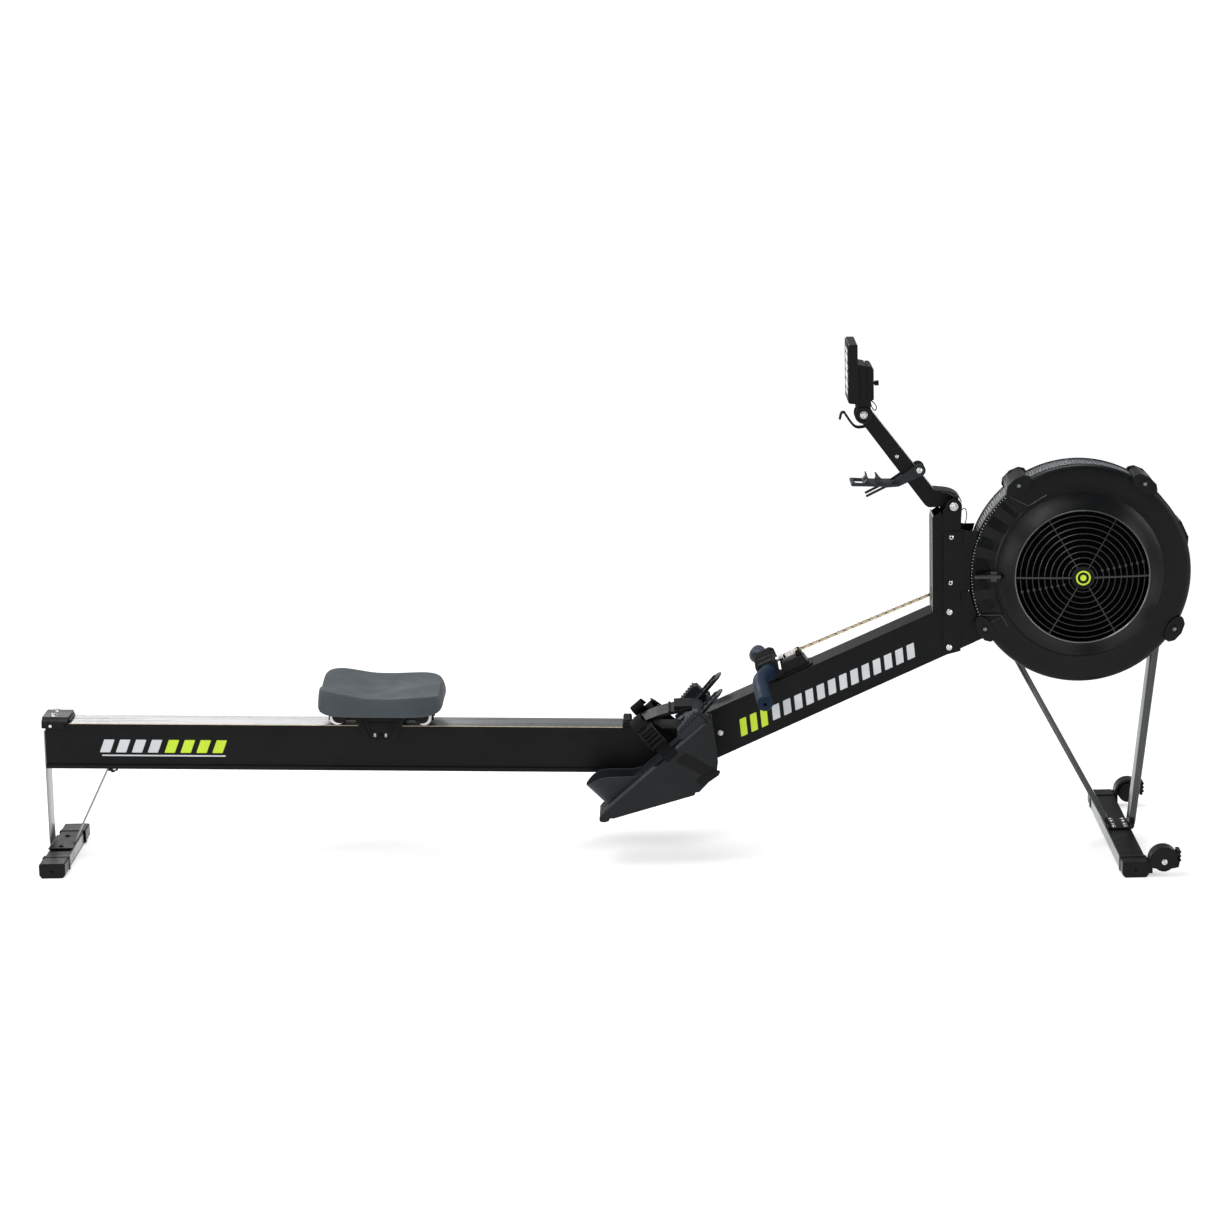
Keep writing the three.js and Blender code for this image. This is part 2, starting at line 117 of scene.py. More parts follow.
area_light("top_panel", (-0.2, 0.2, 3.4), (0.0, 0.0, 0.3), (4.6, 1.5), 125)
area_light("front_panel", (-1.8, -4.2, 2.6), (0.2, 0.0, 0.5), (2.2, 1.0), 62)
area_light("right_panel", (3.6, -1.2, 1.7), (0.9, 0.0, 0.5), (1.0, 1.8), 42)
area_light("left_panel", (-3.6, -0.6, 1.6), (-0.8, 0.0, 0.3), (1.0, 1.8), 42)
area_light("back_panel", (-1.7, 4.0, 2.2), (-0.6, 0.0, 0.4), (2.0, 0.9), 34)

world = bpy.data.worlds.new("studio")
world.use_nodes = True
world.node_tree.nodes["Background"].inputs["Color"].default_value = (0.96, 0.98, 1.0, 1)
world.node_tree.nodes["Background"].inputs["Strength"].default_value = 0.26
bpy.context.scene.world = world
bpy.context.scene.view_settings.view_transform = "Standard"

FLOOR_HALF = 150
floor_mesh = bpy.data.meshes.new("floor")
floor_mesh.from_pydata(
    [(-FLOOR_HALF, -FLOOR_HALF, 0), (FLOOR_HALF, -FLOOR_HALF, 0), (FLOOR_HALF, FLOOR_HALF, 0),
     (-FLOOR_HALF, FLOOR_HALF, 0)], [], [(0, 1, 2, 3)])
floor = bpy.data.objects.new("floor", floor_mesh)
bpy.context.scene.collection.objects.link(floor)
floor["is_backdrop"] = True

# The floor glows a little more with distance, so that it stays evenly pale beyond the reach of the lamps.
floor_paint = bpy.data.materials.new("floor_paint")
floor_paint.use_nodes = True
floor_tree = floor_paint.node_tree
floor_shader = floor_tree.nodes["Principled BSDF"]
floor_shader.inputs["Base Color"].default_value = (0.55, 0.55, 0.55, 1)
floor_shader.inputs["Roughness"].default_value = 0.95
floor_shader.inputs["Specular IOR Level"].default_value = 0.0
floor_shader.inputs["Emission Color"].default_value = (1, 1, 1, 1)
floor_place = floor_tree.nodes.new("ShaderNodeTexCoord")
distance = floor_tree.nodes.new("ShaderNodeVectorMath")
distance.operation = "LENGTH"
floor_tree.links.new(floor_place.outputs["Object"], distance.inputs[0])
glow = floor_tree.nodes.new("ShaderNodeMapRange")
glow.interpolation_type = "SMOOTHSTEP"
glow.inputs["From Min"].default_value = 1.5
glow.inputs["From Max"].default_value = 7.0
glow.inputs["To Min"].default_value = 0.58
glow.inputs["To Max"].default_value = 0.90
floor_tree.links.new(distance.outputs["Value"], glow.inputs["Value"])
floor_tree.links.new(glow.outputs["Result"], floor_shader.inputs["Emission Strength"])
floor_mesh.materials.append(floor_paint)

# %% [markdown]
# ## Finishes
# Each finish starts from the Principled shader. Its colour is broken up by a slow noise, its roughness by a
# finer one, and its grain is a bump at the size that the real surface has: about half a millimetre on moulded
# plastic, long thin scratches on brushed steel. One function makes them all, so that a finish is a short list
# of numbers. Values that are the same all over sit on the shader itself, where an exported model keeps them.

# %% Finishes
def link_noise(tree, coords, scale, stretch, detail=3.0):
    mapping = tree.nodes.new("ShaderNodeMapping")
    mapping.inputs["Scale"].default_value = stretch
    tree.links.new(coords, mapping.inputs["Vector"])
    noise = tree.nodes.new("ShaderNodeTexNoise")
    noise.inputs["Scale"].default_value = scale
    noise.inputs["Detail"].default_value = detail
    tree.links.new(mapping.outputs["Vector"], noise.inputs["Vector"])
    return noise.outputs["Fac"]


def remap(tree, value, low, high):
    node = tree.nodes.new("ShaderNodeMapRange")
    node.inputs["From Min"].default_value = 0.3
    node.inputs["From Max"].default_value = 0.7
    node.inputs["To Min"].default_value = low
    node.inputs["To Max"].default_value = high
    tree.links.new(value, node.inputs["Value"])
    return node.outputs["Result"]


def finish(name, dark, light, rough, metallic=0.0, grain=2200, depth=0.00006, stretch=(1, 1, 1),
           mottle=14, coat=0.0, sheen=0.0, specular=0.5):
    material = bpy.data.materials.new(name)
    material.use_nodes = True
    tree = material.node_tree
    shader = tree.nodes["Principled BSDF"]
    shader.inputs["Metallic"].default_value = metallic
    shader.inputs["Coat Weight"].default_value = coat
    shader.inputs["Sheen Weight"].default_value = sheen
    shader.inputs["Specular IOR Level"].default_value = specular
    coords = tree.nodes.new("ShaderNodeTexCoord").outputs["Object"]
    ramp = tree.nodes.new("ShaderNodeValToRGB")
    ramp.color_ramp.elements[0].position = 0.3
    ramp.color_ramp.elements[0].color = (*dark, 1)
    ramp.color_ramp.elements[1].position = 0.7
    ramp.color_ramp.elements[1].color = (*light, 1)
    tree.links.new(link_noise(tree, coords, mottle, stretch), ramp.inputs["Fac"])
    tree.links.new(ramp.outputs["Color"], shader.inputs["Base Color"])
    tree.links.new(remap(tree, link_noise(tree, coords, mottle * 3, stretch), *rough),
                   shader.inputs["Roughness"])
    bump = tree.nodes.new("ShaderNodeBump")
    bump.inputs["Strength"].default_value = 1.0
    bump.inputs["Distance"].default_value = depth
    tree.links.new(link_noise(tree, coords, grain, stretch, 2.0), bump.inputs["Height"])
    tree.links.new(bump.outputs["Normal"], shader.inputs["Normal"])
    return material


black_paint = finish("black_paint", (0.0036, 0.0038, 0.0040), (0.0056, 0.0058, 0.0061), (0.34, 0.44),
                     specular=0.12)
black_plastic = finish("black_plastic", (0.0023, 0.0026, 0.0029), (0.0040, 0.0044, 0.0048), (0.28, 0.40),
                       grain=1700, depth=0.0001, specular=0.16)
dark_plastic = finish("dark_plastic", (0.0035, 0.0037, 0.0040), (0.0058, 0.0060, 0.0064), (0.34, 0.46),
                      grain=1700, specular=0.12)
rib_plastic = finish("rib_plastic", (0.022, 0.028, 0.032), (0.030, 0.037, 0.042), (0.40, 0.50), grain=1500,
                     specular=0.3)
slate_plastic = finish("slate_plastic", (0.0110, 0.0150, 0.0180), (0.0160, 0.0210, 0.0250), (0.42, 0.54),
                       grain=1500, depth=0.00012, specular=0.2)
panel_plastic = finish("panel_plastic", (0.0115, 0.0130, 0.0138), (0.0150, 0.0168, 0.0178), (0.46, 0.58),
                       grain=1300, depth=0.00016, specular=0.12)
grey_steel = finish("grey_steel", (0.17, 0.18, 0.19), (0.27, 0.28, 0.29), (0.26, 0.38), 0.9,
                    grain=900, depth=0.00003, stretch=(1, 1, 0.06), coat=0.15)
bright_steel = finish("bright_steel", (0.33, 0.33, 0.325), (0.42, 0.42, 0.415), (0.24, 0.36), 1.0,
                      grain=1400, depth=0.00002, stretch=(0.03, 1, 1), mottle=30)
zinc = finish("zinc", (0.50, 0.50, 0.49), (0.74, 0.73, 0.70), (0.20, 0.34), 1.0, grain=1200, mottle=90)
brass_steel = finish("brass_steel", (0.42, 0.34, 0.20), (0.66, 0.58, 0.42), (0.24, 0.40), 1.0,
                     grain=1600, mottle=160)
grip_rubber = finish("grip_rubber", (0.0040, 0.0115, 0.0270), (0.0060, 0.0160, 0.0360), (0.40, 0.54),
                     grain=1300, depth=0.00014, specular=0.1)
dull_rubber = finish("dull_rubber", (0.0055, 0.0057, 0.0060), (0.0100, 0.0102, 0.0106), (0.60, 0.78),
                     grain=1100, depth=0.0002, specular=0.12)
button_grey = finish("button_grey", (0.16, 0.165, 0.17), (0.20, 0.205, 0.21), (0.5, 0.6), grain=900,
                     specular=0.2)
white_nylon = finish("white_nylon", (0.72, 0.72, 0.70), (0.82, 0.82, 0.80), (0.34, 0.48), grain=900)
lime_enamel = finish("lime_enamel", (0.44, 0.62, 0.010), (0.50, 0.70, 0.018), (0.30, 0.42), grain=900)
seat_skin = finish("seat_skin", (0.0370, 0.0455, 0.0520), (0.0460, 0.0555, 0.0630), (0.56, 0.70),
                   grain=1250, depth=0.00022, mottle=9, specular=0.3)
screen_glass = finish("screen_glass", (0.060, 0.070, 0.062), (0.085, 0.097, 0.086), (0.08, 0.16), grain=500,
                      depth=0.00001, coat=0.8)
print("finishes", len(bpy.data.materials))

# %% [markdown]
# Straps are woven, so their bump is two sets of waves across each other instead of a noise: one set for the
# ribs that run across a webbing strap, one for the threads along it. The waves ride on the strap's own
# distance along and across, which each strap mesh stores as its UV map.

# %% Webbing
def webbing_finish(name, colour):
    material = finish(name, colour, tuple(c * 1.7 for c in colour), (0.62, 0.80), specular=0.1)
    tree = material.node_tree
    uv = tree.nodes.new("ShaderNodeTexCoord").outputs["UV"]
    heights = []
    for direction, scale in (("X", 190), ("Y", 260)):
        wave = tree.nodes.new("ShaderNodeTexWave")
        wave.bands_direction = direction
        wave.inputs["Scale"].default_value = scale
        wave.inputs["Distortion"].default_value = 0.4
        tree.links.new(uv, wave.inputs["Vector"])
        heights.append(wave.outputs["Fac"])
    product = tree.nodes.new("ShaderNodeMath")
    product.operation = "MULTIPLY"
    tree.links.new(heights[0], product.inputs[0])
    tree.links.new(heights[1], product.inputs[1])
    bump = next(n for n in tree.nodes if n.type == "BUMP")
    bump.inputs["Distance"].default_value = 0.0004
    tree.links.new(product.outputs["Value"], bump.inputs["Height"])
    return material


webbing = webbing_finish("webbing", (0.0034, 0.0035, 0.0038))
print("webbing ready")
# %% [markdown]
# ## Tools for making pieces
# Nearly everything on this machine is a plate, a bar, a turned ring or a bent strip. Sculpting them would be
# slow and never quite flat, so each kind gets one short function: it takes an outline in millimetres, as on
# a drawing, and gives back an object in metres that has its edges rounded by a bevel and rides on a body.

# %% Tools: frames and finishing a mesh
MM = 0.001
MACHINE = Matrix.Identity(4)


def tilted(x, z, angle):
    """A frame at (x, z) millimetres whose X axis climbs by angle radians."""
    return Matrix.Translation((x * MM, 0, z * MM)) @ Matrix.Rotation(-angle, 4, "Y")


RAIL = tilted(0, 275, -0.0257)
TUBE = tilted(268, 335, 0.4136)
FOOT = tilted(-28, 113, 0.7104)


def piece(name, bm, material, body="frame", frame_=MACHINE, bevel=0.0, replaces=(), smooth=35,
          subdivide=0, segments=2):
    bmesh.ops.recalc_face_normals(bm, faces=bm.faces)
    mesh = bpy.data.meshes.new(name)
    bm.to_mesh(mesh)
    bm.free()
    mesh.transform(frame_)
    for polygon in mesh.polygons:
        polygon.use_smooth = True
    mesh.set_sharp_from_angle(angle=math.radians(smooth))
    mesh.materials.append(material)
    obj = bpy.data.objects.new(name, mesh)
    bpy.context.scene.collection.objects.link(obj)
    if bevel:
        rounding = obj.modifiers.new("edges", "BEVEL")
        rounding.width = bevel * MM
        rounding.segments = segments
        rounding.limit_method = "ANGLE"
        rounding.angle_limit = math.radians(32)
        rounding.harden_normals = True
    if subdivide:
        surface = obj.modifiers.new("surface", "SUBSURF")
        surface.levels = surface.render_levels = subdivide
    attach(obj, body)
    if replaces:
        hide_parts(*replaces)
    return obj


def join(*meshes):
    """Several bmeshes as one."""
    whole = bmesh.new()
    for bm in meshes:
        mesh = bpy.data.meshes.new("part")
        bm.to_mesh(mesh)
        bm.free()
        whole.from_mesh(mesh)
        bpy.data.meshes.remove(mesh)
    return whole


# %% Tools: plates and bars from an outline
def rounded(points, radius, steps=4):
    """The outline with its corners turned to arcs. radius is one number, or one for each corner."""
    count = len(points)
    radii = radius if hasattr(radius, "__len__") else [radius] * count
    out = []
    for i, (point, r) in enumerate(zip(points, radii)):
        corner = Vector(point)
        before, after = Vector(points[i - 1]) - corner, Vector(points[(i + 1) % count]) - corner
        half = before.angle(after, math.pi) / 2
        reach = min(r / max(math.tan(half), 1e-3), before.length * 0.48, after.length * 0.48)
        if reach < 0.05:
            out.append(tuple(corner))
            continue
        start, end = corner + before.normalized() * reach, corner + after.normalized() * reach
        for k in range(steps + 1):
            t = k / steps
            out.append(tuple(start * (1 - t) ** 2 + corner * 2 * t * (1 - t) + end * t ** 2))
    return out


def extruded(points, low, high, axis="Y"):
    """An outline drawn out from low to high along an axis; the outline is in the other two, in order."""
    place = {
        "Y": lambda a, b, c: (a, c, b),
        "X": lambda a, b, c: (c, a, b),
        "Z": lambda a, b, c: (a, b, c),
    }[axis]
    bm = bmesh.new()
    ends = [[bm.verts.new([v * MM for v in place(a, b, c)]) for a, b in points] for c in (low, high)]
    bm.faces.new(ends[0])
    bm.faces.new(ends[1])
    for i in range(len(points)):
        j = (i + 1) % len(points)
        bm.faces.new((ends[0][i], ends[0][j], ends[1][j], ends[1][i]))
    return bm


def block(x, y, z):
    return extruded([(x[0], z[0]), (x[1], z[0]), (x[1], z[1]), (x[0], z[1])], y[0], y[1])


def arc(cx, cz, r, start, end, steps=12):
    """Points on an arc, from start to end degrees."""
    turns = [math.radians(start + (end - start) * i / steps) for i in range(steps + 1)]
    return [(cx + r * math.cos(t), cz + r * math.sin(t)) for t in turns]


# %% Tools: turned rings, tubes along a path, bolts
def turned(profile, centre=(0, 0, 0), segments=64, closed=False):
    """A profile of (radius, along Y) points turned about Y; a closed one makes a ring."""
    bm = bmesh.new()
    rings = []
    for r, y in profile:
        if r < 1e-6:
            rings.append([bm.verts.new((centre[0] * MM, (centre[1] + y) * MM, centre[2] * MM))])
            continue
        turns = [2 * math.pi * k / segments for k in range(segments)]
        rings.append([bm.verts.new(((centre[0] + r * math.cos(t)) * MM, (centre[1] + y) * MM,
                                    (centre[2] + r * math.sin(t)) * MM)) for t in turns])
    pairs = list(zip(rings, rings[1:] + rings[:1])) if closed else list(zip(rings, rings[1:]))
    for a, b in pairs:
        for k in range(segments):
            n = (k + 1) % segments
            corners = [a[k % len(a)], a[n % len(a)], b[n % len(b)], b[k % len(b)]]
            kept = list(dict.fromkeys(corners))
            if len(kept) > 2:
                bm.faces.new(kept)
    return bm


def swept(path, section, closed=False, flat_ends=True):
    """A closed section of (a, b) points carried along a 3-D path, all in millimetres, kept upright."""
    bm = bmesh.new()
    points = [Vector(p) for p in path]
    count = len(points)
    rings = []
    side = None
    for i, point in enumerate(points):
        before = points[i - 1] if (i or closed) else point
        after = points[(i + 1) % count] if (i < count - 1 or closed) else point
        along = (after - before).normalized()
        if side is None:
            guide = Vector((0, 1, 0)) if abs(along.y) < 0.9 else Vector((1, 0, 0))
            side = (guide - along * guide.dot(along)).normalized()
        else:
            side = (side - along * side.dot(along)).normalized()
        up = along.cross(side)
        rings.append([bm.verts.new((point + side * a + up * b) * MM) for a, b in section])
    pairs = list(zip(rings, rings[1:] + rings[:1])) if closed else list(zip(rings, rings[1:]))
    size = len(section)
    for a, b in pairs:
        for k in range(size):
            bm.faces.new((a[k], a[(k + 1) % size], b[(k + 1) % size], b[k]))
    if not closed and flat_ends:
        bm.faces.new(rings[0])
        bm.faces.new(rings[-1])
    return bm


def circle(r, steps=12):
    return [(r * math.cos(2 * math.pi * k / steps), r * math.sin(2 * math.pi * k / steps))
            for k in range(steps)]


def curve_through(points, steps=6):
    """A smooth path through the points (Catmull-Rom)."""
    p = [Vector(q) for q in points]
    p = [p[0] * 2 - p[1]] + p + [p[-1] * 2 - p[-2]]
    out = []
    for i in range(1, len(p) - 2):
        for k in range(steps):
            t = k / steps
            out.append(0.5 * (2 * p[i] + (p[i + 1] - p[i - 1]) * t
                              + (2 * p[i - 1] - 5 * p[i] + 4 * p[i + 1] - p[i + 2]) * t * t
                              + (3 * p[i] - p[i - 1] - 3 * p[i + 1] + p[i + 2]) * t ** 3))
    out.append(p[-2])
    return out


def bolt_mesh(place, facing, radius=6.0, height=4.0, kind="hex", washer=1.25):
    """A bolt head standing on place (millimetres) and looking along facing."""
    turn = Vector((0, 1, 0)).rotation_difference(Vector(facing)).to_matrix().to_4x4()
    sides = 6 if kind == "hex" else 20
    crown = 0.82 if kind == "hex" else 0.72
    head = turned([(0, 1.2), (radius, 1.2), (radius, height * 0.72), (radius * crown, height),
                   (radius * 0.5, height), (radius * 0.42, height * 0.45), (0, height * 0.45)],
                  segments=sides)
    ring = turned([(0, 0), (radius * washer, 0), (radius * washer, 0.9), (radius * washer - 0.4, 1.3),
                   (0, 1.3)],
                  segments=28)
    whole = join(head, ring)
    bmesh.ops.transform(whole, matrix=Matrix.Translation(Vector(place) * MM) @ turn, verts=whole.verts)
    return whole


def bolts(name, places, facing, body="frame", frame_=MACHINE, material=None, **look):
    whole = join(*[bolt_mesh(p, facing, **look) for p in places])
    return piece(name, whole, material or zinc, body, frame_, smooth=28)


NEAR_FAR = (("near", -1), ("far", 1))


def span(side, inner, outer):
    return (-outer, -inner) if side < 0 else (inner, outer)


def dress(node, material, bevel=0.0, segments=2):
    """Keeps a CAD node and gives it a finish, with its edges rounded."""
    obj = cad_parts[node]
    obj.data.materials.clear()
    obj.data.materials.append(material)
    for polygon in obj.data.polygons:
        polygon.use_smooth = True
    obj.data.set_sharp_from_angle(angle=math.radians(32))
    if bevel:
        rounding = obj.modifiers.new("edges", "BEVEL")
        rounding.width = bevel * MM
        rounding.segments = segments
        rounding.limit_method = "ANGLE"
        rounding.angle_limit = math.radians(32)
        rounding.harden_normals = True
    return obj


print("tools ready")
# %% [markdown]
# ## The beam and its running track
# The beam is a painted aluminium section with a lip along its top and bottom edges. Its shape in the frame is
# already exact, so it only needs its edges eased and its paint. Paint on a sharp edge would catch no light at
# all, while a one-millimetre rounding draws the thin bright line that tells the eye it is a real extrusion.

# %% Beam, track, front stop
dress("monorail", black_paint, bevel=1.0)
dress("rail_track", bright_steel, bevel=0.5)
TRACK_REAR, TRACK_FRONT = -1159, 18
edge_trim = join(*[block((TRACK_REAR, TRACK_FRONT), span(side, 40.1, 41.2), (0.35, 1.5))
                   for _, side in NEAR_FAR])
piece("track_edge_trim", edge_trim, brass_steel, frame_=RAIL, bevel=0.3)

stop = join(block((19, 38), (-44, 44), (0.4, 9)), block((22, 35), (-30, 30), (9, 15)),
            *[block((20, 37), span(side, 33, 40), (9, 13)) for _, side in NEAR_FAR])
piece("front_stop_rubber", stop, dull_rubber, frame_=RAIL, bevel=1.2, replaces=["front_stop"])

# %% [markdown]
# ## Rear end cap
# A moulded cap closes the beam and stops the seat. It slopes down to both sides, so it is drawn as a cross
# section and run along the beam, and two hex screws with washers hold it down.

# %% Rear end cap
cap_section = rounded([(-46, 0.4), (-46, 6), (-36, 14), (36, 14), (46, 6), (46, 0.4)], 2.5)
cap_body = extruded(cap_section, -1218, -1162, "X")
cap_rib = extruded(rounded([(-46.5, -9), (-43, -9), (-43, 3), (-46.5, 3)], 0.8), -1218, -1170, "X")
cap_rib_far = extruded(rounded([(43, -9), (46.5, -9), (46.5, 3), (43, 3)], 0.8), -1218, -1170, "X")
cap_lip = block((-1164, -1158), (-33, 33), (2.2, 8))
piece("rear_cap", join(cap_body, cap_rib, cap_rib_far, cap_lip), black_plastic, frame_=RAIL, bevel=1.6,
      replaces=["rear_end_cap"])
bolts("rear_cap_screws", [(-1196, -24, 13.6), (-1196, 24, 13.6)], (0, 0, 1), frame_=RAIL, radius=6.4,
      height=5)
for name, side in (("rear_cap_side_screws", -1), ("rear_cap_far_screws", 1)):
    bolts(name, [(-1199, side * 46.2, -4)], (0, side, 0), frame_=RAIL, radius=2.6, height=1.8, kind="round")

# %% [markdown]
# ## Painted bands
# The beam and the tube wear bright bands where a maker would put a name. Here they are plain slanted bars
# in silver and lime, cut as thin plates that stand a quarter of a millimetre proud, like a vinyl sticker,
# so that they stay crisp at any distance.

# %% Painted bands
silver_vinyl = finish("silver_vinyl", (0.50, 0.52, 0.54), (0.58, 0.60, 0.62), (0.30, 0.40), grain=700,
                      depth=0.00002)


def slanted_bars(name, starts, width, low, high, lean, face, frame_, material):
    """Parallel slanted bars on both flat sides, face millimetres from the middle."""
    bars = []
    for x in starts:
        outline = [(x, low), (x + width, low), (x + width + lean, high), (x + lean, high)]
        for _, side in NEAR_FAR:
            bars.append(extruded(rounded(outline, 1.2, 2), *span(side, face + 0.05, face + 0.3)))
    return piece(name, join(*bars), material, frame_=frame_)


slanted_bars("beam_band_silver", [-1096, -1062, -1028, -994], 22, -62, -34, 10, 37, RAIL, silver_vinyl)
slanted_bars("beam_band_lime", [-958, -924, -890, -856], 22, -62, -34, 10, 37, RAIL, lime_enamel)
slanted_bars("beam_band_rule", [-1092], 264, -70, -67, 1, 37, RAIL, silver_vinyl)
print("bands ready")
# %% [markdown]
# ## Seat
# The seat is one block of moulded foam with a smooth skin: high at the two rear corners, hollow in the
# middle, with a low ridge between the thighs at the front. It has no cover to swell, so a cloth simulation
# would round off the crisp edge that the mould leaves. Instead a formula gives its height at every point,
# and rings of points follow a rounded plan inward from the rim, which keeps the skin even and the edge
# where it belongs.

# %% Seat cushion
SEAT_X = -496
SEAT = RAIL @ Matrix.Translation((SEAT_X * MM, 0, 0))
seat_low, seat_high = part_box("seat_cushion")
SEAT_HALF_LENGTH = 131
SEAT_HALF_WIDTH = (seat_high.y - seat_low.y) / 2 / MM
SEAT_BASE = 38.5


def smooth_step(value, start, end):
    t = min(max((value - start) / (end - start), 0), 1)
    return t * t * (3 - 2 * t)


def seat_height(x, y):
    """Height above the beam at x (rear -1 to front 1) and y (near -1 to far 1)."""
    lip = 80.5 + 15 * smooth_step(-x, 0.05, 0.95) + 4.5 * smooth_step(x, 0.1, 0.9)
    dish = (1 - min(abs(y), 1) ** 2.4) * (1 - 0.55 * x * x)
    valley = math.exp(-(y / 0.34) ** 2) * smooth_step(-x, 0.15, 0.9)
    ridge = math.exp(-(y / 0.20) ** 2) * smooth_step(x, -0.1, 0.8)
    thigh = math.exp(-((abs(y) - 0.52) / 0.24) ** 2) * smooth_step(x, 0.0, 0.9)
    return lip - 13 * dish - 9 * valley + 7.5 * ridge - 4.5 * thigh


def seat_plan(turn, scale):
    """A point of the rounded plan, as x and y from -1 to 1."""
    c, s = math.cos(turn), math.sin(turn)
    reach = (abs(c) ** 5.2 + abs(s) ** 5.2) ** (-1 / 5.2)
    return c * reach * scale, s * reach * scale


def seat_mesh(around=112):
    bm = bmesh.new()
    # each ring: share of the plan, share of the way up the wall, then rings of the top
    wall = [(0.0, 0.0), (0.93, 0.0), (0.973, 0.01), (0.990, 0.05), (0.998, 0.14), (1.0, 0.30), (0.995, 0.50),
            (0.988, 0.70), (0.980, 0.88), (0.973, 0.96), (0.962, 0.993)]
    top = [0.950, 0.930, 0.90, 0.86, 0.80, 0.73, 0.65, 0.56, 0.46, 0.36, 0.26, 0.16, 0.07]
    rings = []
    for scale, share in wall[1:]:
        ring = []
        for k in range(around):
            x, y = seat_plan(2 * math.pi * k / around, 1)
            rim = seat_height(x * 0.965, y * 0.965)
            base = SEAT_BASE + 3 * smooth_step(abs(x), 0.72, 1.0)
            swell = 1 + 0.028 * smooth_step(x, 0.6, 1.0) * math.sin(math.pi * min(share, 1))
            place = (x * scale * SEAT_HALF_LENGTH * swell, y * scale * SEAT_HALF_WIDTH,
                     base + (rim - base) * share)
            ring.append(bm.verts.new([v * MM for v in place]))
        rings.append(ring)
    for scale in top:
        ring = []
        for k in range(around):
            x, y = seat_plan(2 * math.pi * k / around, scale)
            place = (x * SEAT_HALF_LENGTH, y * SEAT_HALF_WIDTH, seat_height(x, y))
            ring.append(bm.verts.new([v * MM for v in place]))
        rings.append(ring)
    for a, b in zip(rings, rings[1:]):
        for k in range(around):
            n = (k + 1) % around
            bm.faces.new((a[k], a[n], b[n], b[k]))
    bottom = bm.verts.new((0, 0, SEAT_BASE * MM))
    middle = bm.verts.new((0, 0, seat_height(0, 0) * MM))
    for k in range(around):
        n = (k + 1) % around
        bm.faces.new((rings[0][k], rings[0][n], bottom))
        bm.faces.new((rings[-1][k], rings[-1][n], middle))
    return bm


cushion = piece("seat_foam", seat_mesh(), seat_skin, "seat", SEAT, smooth=70, subdivide=1,
                replaces=["seat_cushion"])
print("seat", [round(v * 1000) for v in cushion.dimensions])

# %% [markdown]
# ## Seat carriage and rollers
# Under the foam a pressed steel carriage wraps the beam: its side plates come down in a V past the top lip
# and carry small rollers that hold the seat down, which show as two white slivers through slots beside the
# centre bolt. The plates are drawn with their slots already in them, by cutting one mesh with another.

# %% Carriage
def carved(bm, *tools):
    """bm with the tools cut out of it."""
    meshes = []
    for part in (bm, *tools):
        bmesh.ops.recalc_face_normals(part, faces=part.faces)
        mesh = bpy.data.meshes.new("carving")
        part.to_mesh(mesh)
        part.free()
        obj = bpy.data.objects.new("carving", mesh)
        bpy.context.scene.collection.objects.link(obj)
        meshes.append(obj)
    body = meshes[0]
    for tool in meshes[1:]:
        cutter = body.modifiers.new("cut", "BOOLEAN")
        cutter.operation = "DIFFERENCE"
        cutter.solver = "EXACT"
        cutter.object = tool
    bpy.context.view_layer.update()
    result = body.evaluated_get(bpy.context.evaluated_depsgraph_get()).to_mesh()
    out = bmesh.new()
    out.from_mesh(result)
    for obj in meshes:
        mesh = obj.data
        bpy.data.objects.remove(obj)
        bpy.data.meshes.remove(mesh)
    return out


def oval(cx, cz, half_x, half_z, steps=16):
    return [(cx + half_x * math.cos(2 * math.pi * k / steps), cz + half_z * math.sin(2 * math.pi * k / steps))
            for k in range(steps)]


CARRIAGE_TOP = 37.6
parts = [block((-112, 112), (-53, 53), (34.8, CARRIAGE_TOP))]
for _, side in NEAR_FAR:
    hanger = extruded(rounded([(-64, CARRIAGE_TOP), (-30, -30), (30, -30), (64, CARRIAGE_TOP)], 5),
                      *span(side, 49.8, 52.2))
    slots = [extruded(oval(x, -17.5, 2.9, 5.0), *span(side, 45, 56)) for x in (-11.6, 11.6)]
    parts.append(carved(hanger, *slots))
    for x_top, x_low in ((-50, -22), (-38, -14), (38, 14), (50, 22)):
        rib = [(x_top - 1.7, 33), (x_low - 1.7, -25), (x_low + 1.7, -25), (x_top + 1.7, 33)]
        parts.append(extruded(rib, *span(side, 52.0, 54.4)))
    for low, high in ((-26, -24), (8, 10.5)):
        parts.append(block((-22 if low < 0 else -40, 22 if low < 0 else 40), span(side, 52.0, 53.6),
                           (low, high)))
    parts.append(block((-112, 112), span(side, 19, 24), (9, 36)))
    for end in (-1, 1):
        arm = rounded([(end * 60, 35), (end * 104, 35), (end * 100, 12), (end * 84, 6), (end * 74, 12)], 4)
        parts.append(extruded(arm, *span(side, 42, 44.5)))
piece("carriage_plates", join(*parts), dark_plastic, "seat", SEAT, bevel=0.7, replaces=["seat_carriage"])
bolts("carriage_bolts", [(0, -52.2, -18.5), (0, 52.2, -18.5)], (0, -1, 0), "seat", SEAT, dark_plastic,
      radius=4.6, height=4, washer=1.3)

